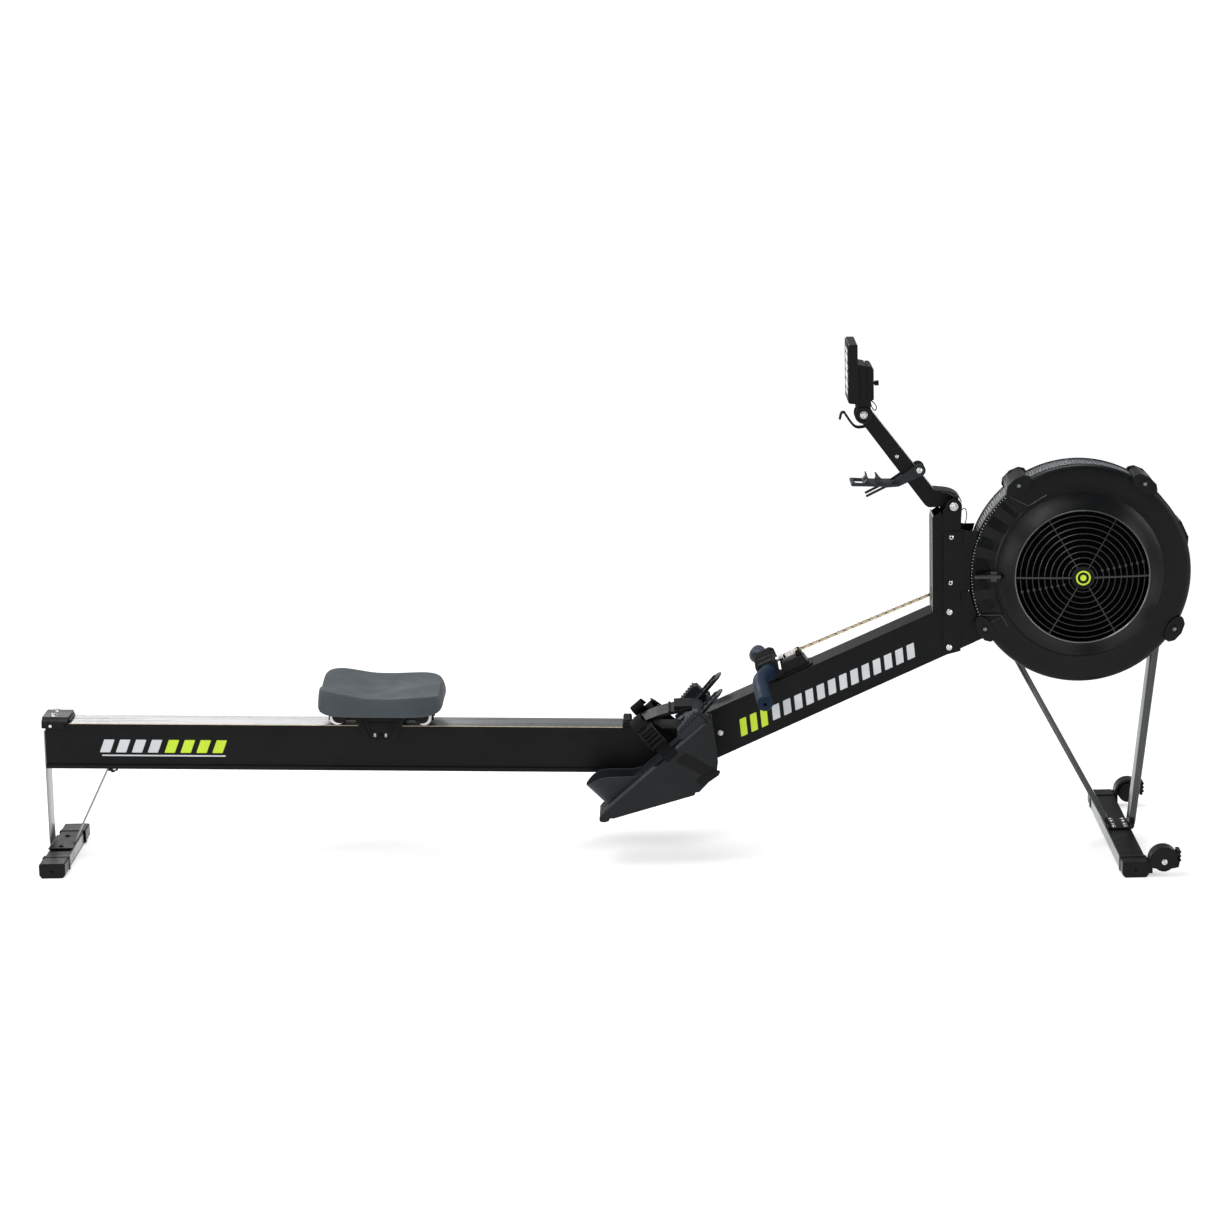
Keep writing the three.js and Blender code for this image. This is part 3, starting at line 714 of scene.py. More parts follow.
# %% Rollers
for name, end in (("rear", -1), ("front", 1)):
    profile = [(0, -44), (3.6, -44), (3.6, -41.4), (6, -41.4), (9, -40.2), (13.5, -41.2), (15.2, -40.6),
               (16, -39.2), (16, -29.8), (15.2, -28.4), (6, -28.4), (3.6, -27), (3.6, 27), (6, 28.4),
               (15.2, 28.4), (16, 29.8), (16, 39.2), (15.2, 40.6), (13.5, 41.2), (9, 40.2), (6, 41.4),
               (3.6, 41.4), (3.6, 44), (0, 44)]
    roller = turned(profile, (end * 92, 0, 18.1), segments=48)
    piece(f"top_roller_{name}", roller, white_nylon, f"top_rollers_{name}", SEAT,
          replaces=[f"seat_rollers_{name}"])
    for side_name, side in NEAR_FAR:
        low, high = span(side, 38, 49.2)
        small = [(0, low), (2.6, low), (3.4, low + 0.8), (8.2, low), (9.2, low + 0.9), (9.2, high - 0.9),
                 (8.2, high), (3.4, high - 0.8), (2.6, high), (0, high)]
        node = f"lower_roller_{name}_{side_name}"
        piece(f"under_roller_{name}_{side_name}", turned(small, (end * 12.5, 0, -17.5), segments=36),
              white_nylon, f"low_roller_{name}_{side_name}", SEAT, replaces=[node])
covers = join(*[turned([(0, y0), (13, y0), (14, y0 + 1), (14, y1 - 1), (13, y1), (0, y1)],
                       (end * 88.5, 0, 21.5), 36)
                for end in (-1, 1) for y0, y1 in (span(-1, 44.6, 48), span(1, 44.6, 48))])
piece("roller_covers", covers, dark_plastic, "seat", SEAT, bevel=0.5)
print("rollers ready")
# %% [markdown]
# ## Sloped tube
# The tube is a painted box section. A raised seam runs along its upper edge where the top plate is folded
# over the side, and it carries the same plain bands as the beam: a long row of slanted silver bars, with
# three lime ones at its lower end.

# %% Sloped tube
dress("front_tube", black_paint, bevel=1.4, segments=3)
TUBE_FROM, TUBE_TO = -104, 455
seams = join(*[block((TUBE_FROM, TUBE_TO), span(side, 42.02, 42.6), (-7.4, -6.2)) for _, side in NEAR_FAR])
piece("tube_seam", seams, black_paint, frame_=TUBE, bevel=0.2)
slanted_bars("tube_band_lime", [-32, -8, 16], 15, -78, -42, 12, 42, TUBE, lime_enamel)
slanted_bars("tube_band_silver", [44 + 26 * k for k in range(13)], 17, -74, -44, 10, 42, TUBE, silver_vinyl)
for name, side in (("tube_side_bolts", -1), ("tube_side_bolts_far", 1)):
    bolts(name, [(226, side * 42.1, 260)], (0, side, 0), radius=4.6, height=3, kind="round")

# %% [markdown]
# ## Handle rest
# The handle hooks over a moulded rest with a flared base plate. It is a hollow wedge, thick at the front and
# open at the back, so a wedge outline is cut by a smaller one from behind. Two posts guide the chain into it.

# %% Handle rest
rest_plate = extruded(rounded([(84, -30), (96, -35), (160, -35), (170, -26), (170, 26), (160, 35), (96, 35),
                               (84, 30)], 6), 0.4, 3.2, "Z")
lip_plate = extruded(rounded([(92, -30), (160, -30), (164, -22), (164, 22), (160, 30), (92, 30)], 5), 3,
                     5.4, "Z")
wedge_side = rounded([(104, 4), (164, 4), (160, 20), (154, 27), (112, 27), (106, 23)], [1, 2, 5, 6, 5, 3])
wedge = carved(extruded(wedge_side, -25, 25), block((99, 152), (-20, 20), (8, 23)))
posts = [extruded(rounded([(143, 24), (159, 24), (156, 38), (147, 38.6)], 3), *span(side, 10.5, 17))
         for _, side in NEAR_FAR]
piece("handle_cradle", join(rest_plate, lip_plate, wedge, *posts), black_plastic, frame_=TUBE, bevel=1.3,
      segments=3, replaces=["handle_rest"])

# %% [markdown]
# ## Handle
# The core is a stout moulded bar with slanting ribs, and a navy grip is pushed on each end and bends back
# toward the rower. A grip is a soft round section that follows a bent line, a little thicker at its end, with
# a domed end cap and a hole in it; a sweep gives that in one piece.

# %% Handle core
core_side = rounded([(58, 22), (66, 14), (96, 14), (101, 20), (101, 46), (95, 50.5), (66, 50.5), (58, 43)], 5)
core = [extruded(core_side, -66, 66)]
for k in range(11):
    z = 21 + 2.7 * k
    line = [(57.4, z - 1), (59.4, z - 1), (59.4, z + 1), (57.4, z + 1)]
    core.append(extruded(line, -60, 60))
for y in range(-60, 61, 8):
    if abs(y) > 10:
        core.append(block((62, 98), (y - 1.6, y + 1.6), (49.5, 52.2)))
for _, side in NEAR_FAR:
    collar = rounded([(60, 17), (68, 11.5), (94, 11.5), (103, 20), (103, 47), (95, 53), (68, 53),
                      (60, 46)], 6)
    core.append(extruded(collar, *span(side, 52, 66.5)))
piece("handle_bar", join(*core), dull_rubber, "handle", TUBE, bevel=1.2, segments=3, replaces=["handle_core"])

# %% Grips
GRIP_LINE = [(328, 66.8, 397), (327, 78, 396.6), (320, 94, 395), (312.5, 112, 391.5), (309.5, 132, 388.5),
             (310, 160, 384.5), (313, 205, 377.5), (316, 250, 370)]


def grip_mesh(side):
    path = curve_through([(x, side * y, z) for x, y, z in GRIP_LINE], 6)
    bm = bmesh.new()
    rings = []
    around = 28
    total = len(path)
    for i, point in enumerate(path):
        t = i / (total - 1)
        along = (path[min(i + 1, total - 1)] - path[max(i - 1, 0)]).normalized()
        a = Vector((1, 0, 0)) - along * along.x
        a.normalize()
        b = along.cross(a)
        r = 16.0 + 0.7 * smooth_step(t, 0.5, 1.0) + 0.9 * (1 - smooth_step(t, 0.0, 0.06))
        rings.append([bm.verts.new((point + (a * math.cos(q) + b * math.sin(q)) * r) * MM)
                      for q in [2 * math.pi * k / around for k in range(around)]])
    end = path[-1]
    direction = (path[-1] - path[-2]).normalized()
    a = (Vector((1, 0, 0)) - direction * direction.x).normalized()
    b = direction.cross(a)
    for r, forward in ((16.2, 1.2), (15.0, 2.6), (12.6, 3.8), (9.0, 4.4), (4.2, 4.5), (3.6, 3.8), (3.4, -5)):
        rings.append([bm.verts.new((end + direction * forward + (a * math.cos(q) + b * math.sin(q)) * r) * MM)
                      for q in [2 * math.pi * k / around for k in range(around)]])
    for p, q in zip(rings, rings[1:]):
        for k in range(around):
            n = (k + 1) % around
            bm.faces.new((p[k], p[n], q[n], q[k]))
    bm.faces.new(rings[0])
    bm.faces.new(rings[-1])
    return bm


for side_name, side in NEAR_FAR:
    grip = piece(f"grip_{side_name}", grip_mesh(side), grip_rubber, "handle", smooth=60,
                 replaces=[f"handle_grip_{side_name}"])
    ring = swept([(328, side * 66.0, 397), (328, side * 69.5, 397)], circle(17.6, 32))
    piece(f"grip_ring_{side_name}", ring, dull_rubber, "handle", bevel=0.8)
print("grip", [round(v * 1000) for v in grip.dimensions])

# %% [markdown]
# ## Swivel and chain
# A silver fork joins the handle to a roller chain. The chain outside the mast is built link by link: pairs of
# waisted plates, turn about narrow and wide, on small rollers. In this machine it leaves the mast as the
# handle is pulled, so the visible run has to grow. Here the run is built once, on a straight line from the
# fork at rest to the mast, with its links spread evenly along it.

# %% Swivel
fork = join(
    swept([(101.6, 0, 35), (120, 0, 35)], circle(5.2, 24)),
    swept([(108, 0, 35), (118, 0, 35)], circle(7.4, 6)),
    *[block((118, 152.5), span(side, 4.2, 6.2), (30.8, 39.2)) for _, side in NEAR_FAR],
    block((116, 124), (-6.2, 6.2), (30.8, 39.2)))
piece("chain_fork", fork, zinc, "handle", TUBE, bevel=0.6, replaces=["chain_swivel"])
fork_pin = turned([(0, -9), (4, -9), (4.8, -8.2), (4.8, 8.2), (4, 9), (0, 9)], (147, 0, 35), 20)
piece("fork_pin", fork_pin, brass_steel, "handle", TUBE)

# %% Chain
CHAIN_PITCH = 9.525


def point_on_tube(along, above):
    place = TUBE @ Vector((along * MM, 0, above * MM))
    return Vector((place.x / MM, 0, place.z / MM))


chain_start = point_on_tube(150, 35)
chain_end = Vector((674.6, 0, 542.9))
chain_run = chain_end - chain_start
chain_way = chain_run.normalized()
chain_turn = math.atan2(chain_way.z, chain_way.x)
links = round(chain_run.length / CHAIN_PITCH)
pitch = chain_run.length / links


def link_plate(y0, y1):
    outline = (arc(0, 0, 3.4, 100, 260, 7) + [(pitch * 0.5, -2.1)] + arc(pitch, 0, 3.4, -80, 80, 7)
               + [(pitch * 0.5, 2.1)])
    return extruded(outline, y0, y1)


def one_link(index):
    wide = index % 2 == 0
    inner = 2.35 if wide else 1.55
    parts = [link_plate(*span(side, inner, inner + 0.75)) for _, side in NEAR_FAR]
    parts.append(turned([(0, -3.6), (1.5, -3.6), (1.5, 3.6), (0, 3.6)] if wide else
                        [(0, -1.5), (2.5, -1.5), (2.5, 1.5), (0, 1.5)], segments=10))
    link = join(*parts)
    place = chain_start + chain_way * (pitch * index)
    bmesh.ops.transform(link, verts=link.verts,
                        matrix=Matrix.Translation(place * MM) @ Matrix.Rotation(-chain_turn, 4, "Y"))
    return link


chain_mesh = join(*[one_link(i) for i in range(links)])
bmesh.ops.recalc_face_normals(chain_mesh, faces=chain_mesh.faces)
chain_data = bpy.data.meshes.new("chain_links")
chain_mesh.to_mesh(chain_data)
chain_mesh.free()
chain_data.materials.append(brass_steel)
chain_data.materials.append(finish("dark_links", (0.10, 0.085, 0.06), (0.20, 0.17, 0.12), (0.3, 0.45), 0.9,
                                   grain=1600, mottle=160))
for face in chain_data.polygons:
    along = (face.center / MM - chain_start).dot(chain_way)
    face.material_index = int(along / pitch + 0.25) % 2
chain = bpy.data.objects.new("chain_links", chain_data)
bpy.context.scene.collection.objects.link(chain)
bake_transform(chain)
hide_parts("drive_chain")
dress("return_chain", brass_steel, bevel=0.2)
print("chain links", links)
# %% [markdown]
# ## Mast
# The mast is a folded channel between two side plates that also carry the fan. The frame's plates have the
# right outline, so they stay, with their edges eased. What they lack is hardware: hex bolts with washers,
# the bracket's own plate with rounded corners and a small tab for the cable.

# %% Mast plates and bolts
MAST_FACE = 45.3
dress("mast_channel", black_paint, bevel=1.0)
for side_name, side in NEAR_FAR:
    dress(f"mast_plate_{side_name}", black_paint, bevel=0.8)
    bolts(f"mast_bolts_{side_name}",
          [(x, side * MAST_FACE, z) for x, z in ((716, 673), (714, 576), (712, 513), (711, 437))],
          (0, side, 0), radius=4.8, height=3.6, kind="round", washer=1.3)
    bracket = rounded([(700, 560), (756, 560), (754.6, 591), (760, 640), (773, 686), (700, 686)],
                      [10, 1, 1, 1, 1, 10])
    piece(f"fan_bracket_{side_name}", extruded(bracket, *span(side, 45.5, 48)), black_paint, bevel=0.9)
    bolts(f"fan_bracket_bolts_{side_name}", [(x, side * 48, z) for x, z in ((706, 578), (706, 668))],
          (0, side, 0), radius=3.6, height=2.6, kind="round", material=dark_plastic)
    bolts(f"mast_pivot_{side_name}", [(722, side * MAST_FACE, 738)], (0, side, 0), radius=6.6, height=5.4,
          washer=1.35)
tube_end = [(736, 557), (755.5, 556), (761.5, 530), (770, 505), (780.5, 482), (791.5, 463), (789, 457.5),
            (764, 446.4), (736, 434)]
end_plates = [extruded(rounded(tube_end, [1, 1, 1, 1, 1, 2, 2, 1, 1]), *span(side, 38, 41.5)) for _,
              side in NEAR_FAR]
piece("tube_end_plates", join(*end_plates), black_paint, bevel=0.8)
front_edge = join(*[block((676.2, 677.0), span(side, 37.6, 41.4), (515, 708)) for _, side in NEAR_FAR])
piece("mast_front_edge", front_edge, grey_steel, bevel=0.2)
cable_tab = extruded(rounded([(741, 664), (752, 662), (754, 684), (744, 688)], 2), -49.8, -48.2)
piece("cable_tab", cable_tab, black_plastic, bevel=0.4)
saddle_top = swept([(678.5, y, 716.5) for y in (-38, 38)], rounded([(-1, -4), (1, -4), (1, 4), (-1, 4)], 0.6))
piece("mast_top_strip", saddle_top, grey_steel, bevel=0.3)
dress("guide_pulley", zinc, bevel=0.4)

# %% [markdown]
# ## Monitor arm
# The arm is a channel with a knee. It hugs the mast's pivot at its lower end, where a curved cover hides the
# knuckle, and holds the monitor's pivot at its upper end. A light grey strip along its back is a painted
# highlight of its lit edge, and the arm carries a bent hook strip for the handle's strap.

# %% Arm
ARM_PIVOT, MONITOR_PIVOT, HOLDER_PIVOT = (722, 738), (536, 932), (651.5, 813)
arm_side = rounded([(527.6, 921), (663, 738), (671, 732.5), (700, 733.5), (712, 726), (735, 735), (728, 752),
                    (711, 761), (681, 767.5), (556, 930), (545, 945)], [4, 8, 8, 8, 6, 8, 8, 6, 14, 6, 8])
arm_parts = [extruded(arm_side, -17.6, 17.6)]
for _, side in NEAR_FAR:
    edge = [(552, 933.5), (679, 769), (682, 770.5), (556, 935.5)]
    arm_parts.append(extruded(edge, *span(side, 15.6, 17.9)))
    low, high = span(side, 17.4, 18.8)
    arm_parts.append(extruded(arc(*MONITOR_PIVOT, 19, 0, 360, 40)[:-1], low, high))
knuckle = turned([(0, -41.2), (14, -41.2), (15, -40.2), (15, 40.2), (14, 41.2), (0, 41.2)],
                 (ARM_PIVOT[0], 0, ARM_PIVOT[1]), 40)
piece("arm_channel", join(*arm_parts, knuckle), black_paint, "arm", bevel=1.1, segments=3,
      replaces=["monitor_arm"])
# A thin light grey strip on the arm's back edge: a painted highlight along the lit edge of the black arm.
arm_highlight_strip = extruded([(553.5, 935.5), (680.5, 770.5), (682, 771.6), (555, 936.8)], -17.4, 17.4)
piece("arm_back_painted_highlight", arm_highlight_strip, grey_steel, "arm", bevel=0.2)
bolts("arm_small_bolts", [(605, -17.7, 842)], (0, -1, 0), "arm", radius=3.2, height=2.4, kind="round")
cover_line = [(675, 771), (691, 769.5), (708, 767.5), (722, 763.5), (733, 756), (739, 745)]
cover = swept([(p.x, 0, p.z) for p in curve_through([(x, 0, z) for x, z in cover_line], 5)],
              rounded([(-30, -1.1), (30, -1.1), (30, 1.1), (-30, 1.1)], 0.8))
piece("knee_cover", cover, black_plastic, "arm", smooth=60)
hook_line = [(544, 906.5), (519, 906), (500, 930), (496.5, 936), (490, 935), (486.5, 922)]
hook = swept([(p.x, -6, p.z) for p in curve_through([(x, 0, z) for x, z in hook_line], 5)],
             rounded([(-9, -2.2), (9, -2.2), (9, 2.2), (-9, 2.2)], 1.2))
piece("arm_hook", hook, black_paint, "arm", smooth=60)

# %% [markdown]
# ## Monitor
# The monitor is a thin display slab with a deeper battery pod behind, and a door line round the pod. It
# tilts on a disc with a bright bolt. The screen and the buttons face the rower: the screen is a glass plate
# in a raised frame, and the buttons travel in their own holes, so each stays a separate piece.

# %% Monitor case
slab = extruded(rounded([(503.4, 963), (522, 961), (522, 1084), (519.5, 1086), (506, 1086), (503.4, 1084)],
                        [2, 2, 2, 2, 4, 3]), -70, 70)
BUTTON_HEIGHTS = (1038, 1024, 1010, 996)
BUTTON_ACROSS = -56
button_holes = [turned([(0, 5), (4.5, 5), (4.5, -8), (0, -8)], segments=24) for _ in BUTTON_HEIGHTS]
for cutter, z in zip(button_holes, BUTTON_HEIGHTS):
    bmesh.ops.rotate(cutter, matrix=Matrix.Rotation(math.radians(90), 3, "Z"), verts=cutter.verts)
    bmesh.ops.translate(cutter, vec=Vector((503, BUTTON_ACROSS, z)) * MM, verts=cutter.verts)
slab = carved(slab, *button_holes)
pod_a = extruded(rounded([(521, 964), (541, 964), (541, 1038), (521, 1042)], [1, 2, 3, 2]), -50, 50)
pod_b = extruded(rounded([(542.2, 965), (556, 966.5), (556, 1031), (551, 1037), (542.2, 1037.6)],
                         [1, 3, 4, 4, 1]),
                 -49, 49)
bezel = []
for z0, z1, y0, y1 in ((972, 975, -48, 62), (1071, 1074, -48, 62), (975, 1071, -48, -45),
                       (975, 1071, 59, 62)):
    bezel.append(block((501.6, 503.6), (y0, y1), (z0, z1)))
stem = swept([(555, 0, 996), (561, 0, 996)], circle(3.2, 18))
knob = swept([(560, 0, 996), (569, 0, 996)], circle(5.6, 24))
ears = [extruded(rounded([(519, 965), (522.5, 924), (530, 914), (542, 914), (549.5, 924), (552, 965)],
                         [1, 8, 9, 9, 8, 1]), *span(side, 19.2, 24.5)) for _, side in NEAR_FAR]
piece("monitor_shell", join(slab, pod_a, pod_b, stem, knob, *bezel, *ears), black_plastic, "monitor",
      bevel=1.1, segments=3, replaces=["monitor_case"])
face = [block((502.2, 503.3), (-69, -61), (964, 1083)), block((502.2, 503.3), (-51, -48), (964, 1083)),
        block((502.2, 503.3), (62, 69), (964, 1083)), block((502.2, 503.3), (-51, 69), (1074, 1083)),
        block((502.2, 503.3), (-51, 69), (964, 972))]
piece("monitor_face", join(*face), dull_rubber, "monitor", bevel=0.2)
screen = extruded(rounded([(-45, 975), (59, 975), (59, 1071), (-45, 1071)], 2), 502.2, 503.3, "X")
piece("monitor_screen", screen, screen_glass, "monitor")
menu_parts = []
for row in range(5):
    z = 1062 - row * 18.5
    menu_parts.append(block((501.9, 502.2), (-38, -38 + 62 - 9 * (row % 3)), (z - 2.4, z)))
    menu_parts.append(block((501.9, 502.2), (36, 52), (z - 4.5, z)))
piece("screen_segments", join(*menu_parts), dark_plastic, "monitor")
for k, z in enumerate(BUTTON_HEIGHTS):
    button = turned([(0, -6), (4, -6), (4, 0), (3.4, 1), (1.8, 1.5), (0, 1.6)], segments=28)
    bmesh.ops.rotate(button, matrix=Matrix.Rotation(math.radians(90), 3, "Z"), verts=button.verts)
    bmesh.ops.translate(button, vec=Vector((502.4, BUTTON_ACROSS, z)) * MM, verts=button.verts)
    piece(f"button_{k + 1}_cap", button, button_grey, f"button_{k + 1}", replaces=[f"monitor_button_{k + 1}"])
pivot_ring = []
for _, side in NEAR_FAR:
    low, high = span(side, 24.4, 26.6)
    profile = [(11.5, low), (18.4, low), (18.4, high - 0.5), (17.4, high), (12.5, high), (11.5, high - 0.5)]
    if side < 0:
        profile = [(11.5, high), (18.4, high), (18.4, low + 0.5), (17.4, low), (12.5, low), (11.5, low + 0.5)]
    pivot_ring.append(turned(profile, (MONITOR_PIVOT[0], 0, MONITOR_PIVOT[1]), 48, closed=True))
piece("monitor_pivot_ring", join(*pivot_ring), black_plastic, "monitor")
for side_name, side in NEAR_FAR:
    bolts(f"monitor_pivot_bolt_{side_name}", [(MONITOR_PIVOT[0], side * 24.5, MONITOR_PIVOT[1])],
          (0, side, 0),
          "monitor", radius=7.2, height=5, washer=1.15)
# Two thin leads show only as short bows, so each is a tube swept along a smooth line.
cable_loop = curve_through([(545, -12, 964), (556, -13, 958), (563, -14, 948), (561, -14, 940),
                            (556, -13, 943),
                             (552, -12, 952), (550, -12, 964)], 6)
monitor_lead = piece("monitor_lead", swept(cable_loop, circle(1.1, 8)), dull_rubber, "monitor")
mast_wire = curve_through([(736, -36, 727), (745, -37, 733), (749, -37, 720), (746, -37, 702),
                           (736, -36, 690)], 6)
mast_lead = piece("mast_lead", swept(mast_wire, circle(1.0, 8)), dull_rubber, "frame")

# %% [markdown]
# ## Device holder
# A tray for a phone folds on the arm. Its side arms taper away from round bosses into long fingers, and the
# tray has two hooks with a slot between them. The tray, the arms and the bosses are one moulding, made by
# joining their outlines.

# %% Device holder
holder = []
for _, side in NEAR_FAR:
    arm_outline = rounded([(655, 826), (664, 816), (661, 803), (608, 779), (582, 777.5), (541, 757.5),
                           (538, 761.5),
                           (590, 787), (642, 822)], [8, 9, 8, 6, 8, 2, 2, 10, 8])
    holder.append(extruded(arm_outline, *span(side, 19.4, 23.6)))
    low, high = span(side, 18.8, 26.2)
    holder.append(extruded(arc(*HOLDER_PIVOT, 13.2, 0, 360, 36)[:-1], low, high))
tray = extruded(rounded([(506.5, 787), (510, 784), (600, 780.8), (606, 783), (606, 787), (560, 787.6),
                         (510, 790.6)], [2, 2, 2, 2, 2, 2, 2]), -38, 38)
slot_cut = extruded(rounded([(516, -26), (534, -26), (534, 26), (516, 26)], 6), 770, 800, "Z")
tray = carved(tray, slot_cut)
holder.append(tray)
for hook_outline in ([(532, 787), (548, 786.4), (545.5, 795), (542.5, 803.5), (539.5, 803.5), (540.5, 796)],
                     [(560, 786.6), (578, 786), (571, 792), (563.5, 802), (560.5, 801.5), (562.5, 795)]):
    holder.append(extruded(rounded(hook_outline, 1.2), -36, -10))
    holder.append(extruded(rounded(hook_outline, 1.2), 10, 36))
piece("device_tray", join(*holder), slate_plastic, "holder", bevel=0.9, replaces=["device_holder"])
for side_name, side in NEAR_FAR:
    bolts(f"holder_bolt_{side_name}", [(HOLDER_PIVOT[0], side * 26.2, HOLDER_PIVOT[1])], (0, side, 0),
          "holder",
          radius=5, height=3.6, kind="round", washer=1.25)
print("mast ready")
# %% [markdown]
# ## Fan housing, near side
# The near shell is one moulding: a rounded rim, a flat band, a step, a smooth cone and then an open grille.
# It is turned on a lathe in almost every part, so it is made as rings of points about the axle. Between about
# nine o'clock and half past ten the flat band sinks and is pleated like a fan; there the same rings are moved
# in and out, pleat by pleat, so the moulding stays one surface.

# %% Near shell
FAN_X, FAN_Z = 986.5, 591
FAN = Matrix.Translation((FAN_X * MM, 0, FAN_Z * MM))
GRILLE_R = 141
HUB_R = 24
PLEATS_FROM, PLEATS_TO, PLEATS = 133, 207, 12
STEP_R = 176
near_shell_profile = [
    (229, -36), (232, -36), (232, -42), (231.2, -46), (229.2, -49.4), (226, -52), (222, -53.6), (217, -54.2),
    (205, -54.6), (193, -55.2), (186, -55.5), (183, -55.8), (179, -56.2), (STEP_R, -56.6), (174.5, -56.0),
    (173, -57.2), (170, -59.4), (165, -63.6), (159, -69.2), (152, -75.8), (146, -81.2), (143.2, -83.6),
    (141.6, -84.4), (140.2, -84.0), (139.4, -82.6), (139.4, -79), (150, -70), (171, -54), (217, -50.5),
    (225.5, -47.5), (229, -42),
]


def pleat_depth(turn, r):
    """How far the band sinks at an angle in degrees and a radius."""
    inside = smooth_step(turn, PLEATS_FROM - 0.8, PLEATS_FROM + 0.8)
    inside *= 1 - smooth_step(turn, PLEATS_TO - 0.8, PLEATS_TO + 0.8)
    reach = smooth_step(r, 178, 184) * (1 - smooth_step(r, 223, 229))
    share = (turn - PLEATS_FROM) / (PLEATS_TO - PLEATS_FROM) * PLEATS
    fold = abs((share % 2) - 1) * 2 - 1
    return inside * reach * (6.4 + 3.6 * fold * smooth_step(r, 180, 200))


def near_shell_mesh():
    pleat_turns = [PLEATS_FROM + (PLEATS_TO - PLEATS_FROM) * k / (PLEATS * 2) for k in range(PLEATS * 2 + 1)]
    edges = [PLEATS_FROM - 1.2, PLEATS_FROM - 0.4, PLEATS_TO + 0.4, PLEATS_TO + 1.2]
    rest = [PLEATS_TO + 1.2 + (360 - PLEATS_TO + PLEATS_FROM - 2.4) * k / 92 for k in range(1, 92)]
    turns = sorted({round(t % 360, 4) for t in pleat_turns + edges + rest})
    bm = bmesh.new()
    rings = []
    for r, y in near_shell_profile:
        ring = []
        for turn in turns:
            t = math.radians(turn)
            sink = pleat_depth(turn, r)
            ring.append(bm.verts.new((r * math.cos(t) * MM, (y + sink * 0.8) * MM, r * math.sin(t) * MM)))
        rings.append(ring)
    for a, b in zip(rings, rings[1:] + rings[:1]):
        for k in range(len(turns)):
            n = (k + 1) % len(turns)
            bm.faces.new((a[k], a[n], b[n], b[k]))
    return bm


near_shell = piece("fan_shell_front", near_shell_mesh(), black_plastic, frame_=FAN, smooth=14,
                   replaces=["fan_shell_near"])
SECTOR_EDGES = (
    [(131.5, 226), (129.6, 205), (127, 187), (125, 183.6), (119, 183.4), (113, 184.4)],
    [(201.7, 226), (204, 206), (206.4, 189), (208.6, 186), (212, 186.2), (215, 188)],
)
sector_ridges = []
for edge in SECTOR_EDGES:
    line = [(r * math.cos(math.radians(a)), -54.4 - (1.2 if r < 200 else 0), r * math.sin(math.radians(a)))
            for a, r in edge]
    sector_ridges.append(swept([tuple(p) for p in curve_through(line, 4)], circle(1.5, 10)))
piece("fan_sector_ridges", join(*sector_ridges),
      finish("ridge_gloss", (0.008, 0.0085, 0.009), (0.014, 0.0145, 0.015), (0.18, 0.26), specular=0.6),
      frame_=FAN)
print("near shell", [round(v * 1000) for v in near_shell.dimensions])

# %% [markdown]
# The grille is a shallow dome of thin rings on six spokes, which meet in a round badge. Each ring has a flat
# edge toward the eye, deep enough to hide the wheel from the side, so a ring is a small upright rectangle
# turned about the axle. Two rows of little bridges tie the rings together along a tilted line.

# %% Grille
HUB_FACE = 97


def dome(r):
    """How far out the grille stands at a radius."""
    return 83 + (HUB_FACE - 83) * (1 - (r / GRILLE_R) ** 1.6)


grille_parts = []
RING_STEP = (GRILLE_R - HUB_R) / 9.4
ring_radii = [HUB_R + 6 + RING_STEP * k for k in range(9)]
for r in ring_radii:
    h = dome(r)
    grille_parts.append(turned([(r - 0.9, -h + 7), (r + 0.9, -h + 7), (r + 0.9, -h + 0.6), (r + 0.4, -h),
                                (r - 0.4, -h), (r - 0.9, -h + 0.6)], segments=96, closed=True))
for k in range(6):
    turn = math.radians(60 * k)
    wide = 1.7 if k % 3 == 0 else 0.9
    line = [(r * math.cos(turn), -dome(r) + 2.6, r * math.sin(turn))
            for r in [HUB_R - 2 + (GRILLE_R - HUB_R + 2) * j / 10 for j in range(11)]]
    across = (-math.sin(turn) * wide, math.cos(turn) * wide)
    bm = bmesh.new()
    rows = []
    for x, y, z in line:
        rows.append([bm.verts.new(((x + s * across[0]) * MM, (y + d) * MM, (z + s * across[1]) * MM))
                     for s, d in ((-1, 3), (1, 3), (1, -2.4), (-1, -2.4))])
    for a, b in zip(rows, rows[1:]):
        for j in range(4):
            bm.faces.new((a[j], a[(j + 1) % 4], b[(j + 1) % 4], b[j]))
    bm.faces.new(rows[0])
    bm.faces.new(rows[-1])
    grille_parts.append(bm)
BRIDGE_TILT, BRIDGE_LIFT = 0.18, 7.2
for r in ring_radii[1:]:
    for way in (-1, 1):
        x = math.sqrt(max(r * r - (BRIDGE_LIFT + BRIDGE_TILT * r) ** 2, 1))
        z = BRIDGE_LIFT + BRIDGE_TILT * x
        centre = (way * x, way * z)
        h = dome(r)
        grille_parts.append(block((centre[0] - 2.4, centre[0] + 2.4), (-h + 0.4, -h + 7.5),
                                  (centre[1] - 2.6, centre[1] + 2.6)))
grille_paint = finish("grille_paint", (0.010, 0.0105, 0.011), (0.016, 0.0165, 0.0172), (0.26, 0.36),
                      specular=0.55)
piece("fan_grille", join(*grille_parts), grille_paint, frame_=FAN, smooth=30)
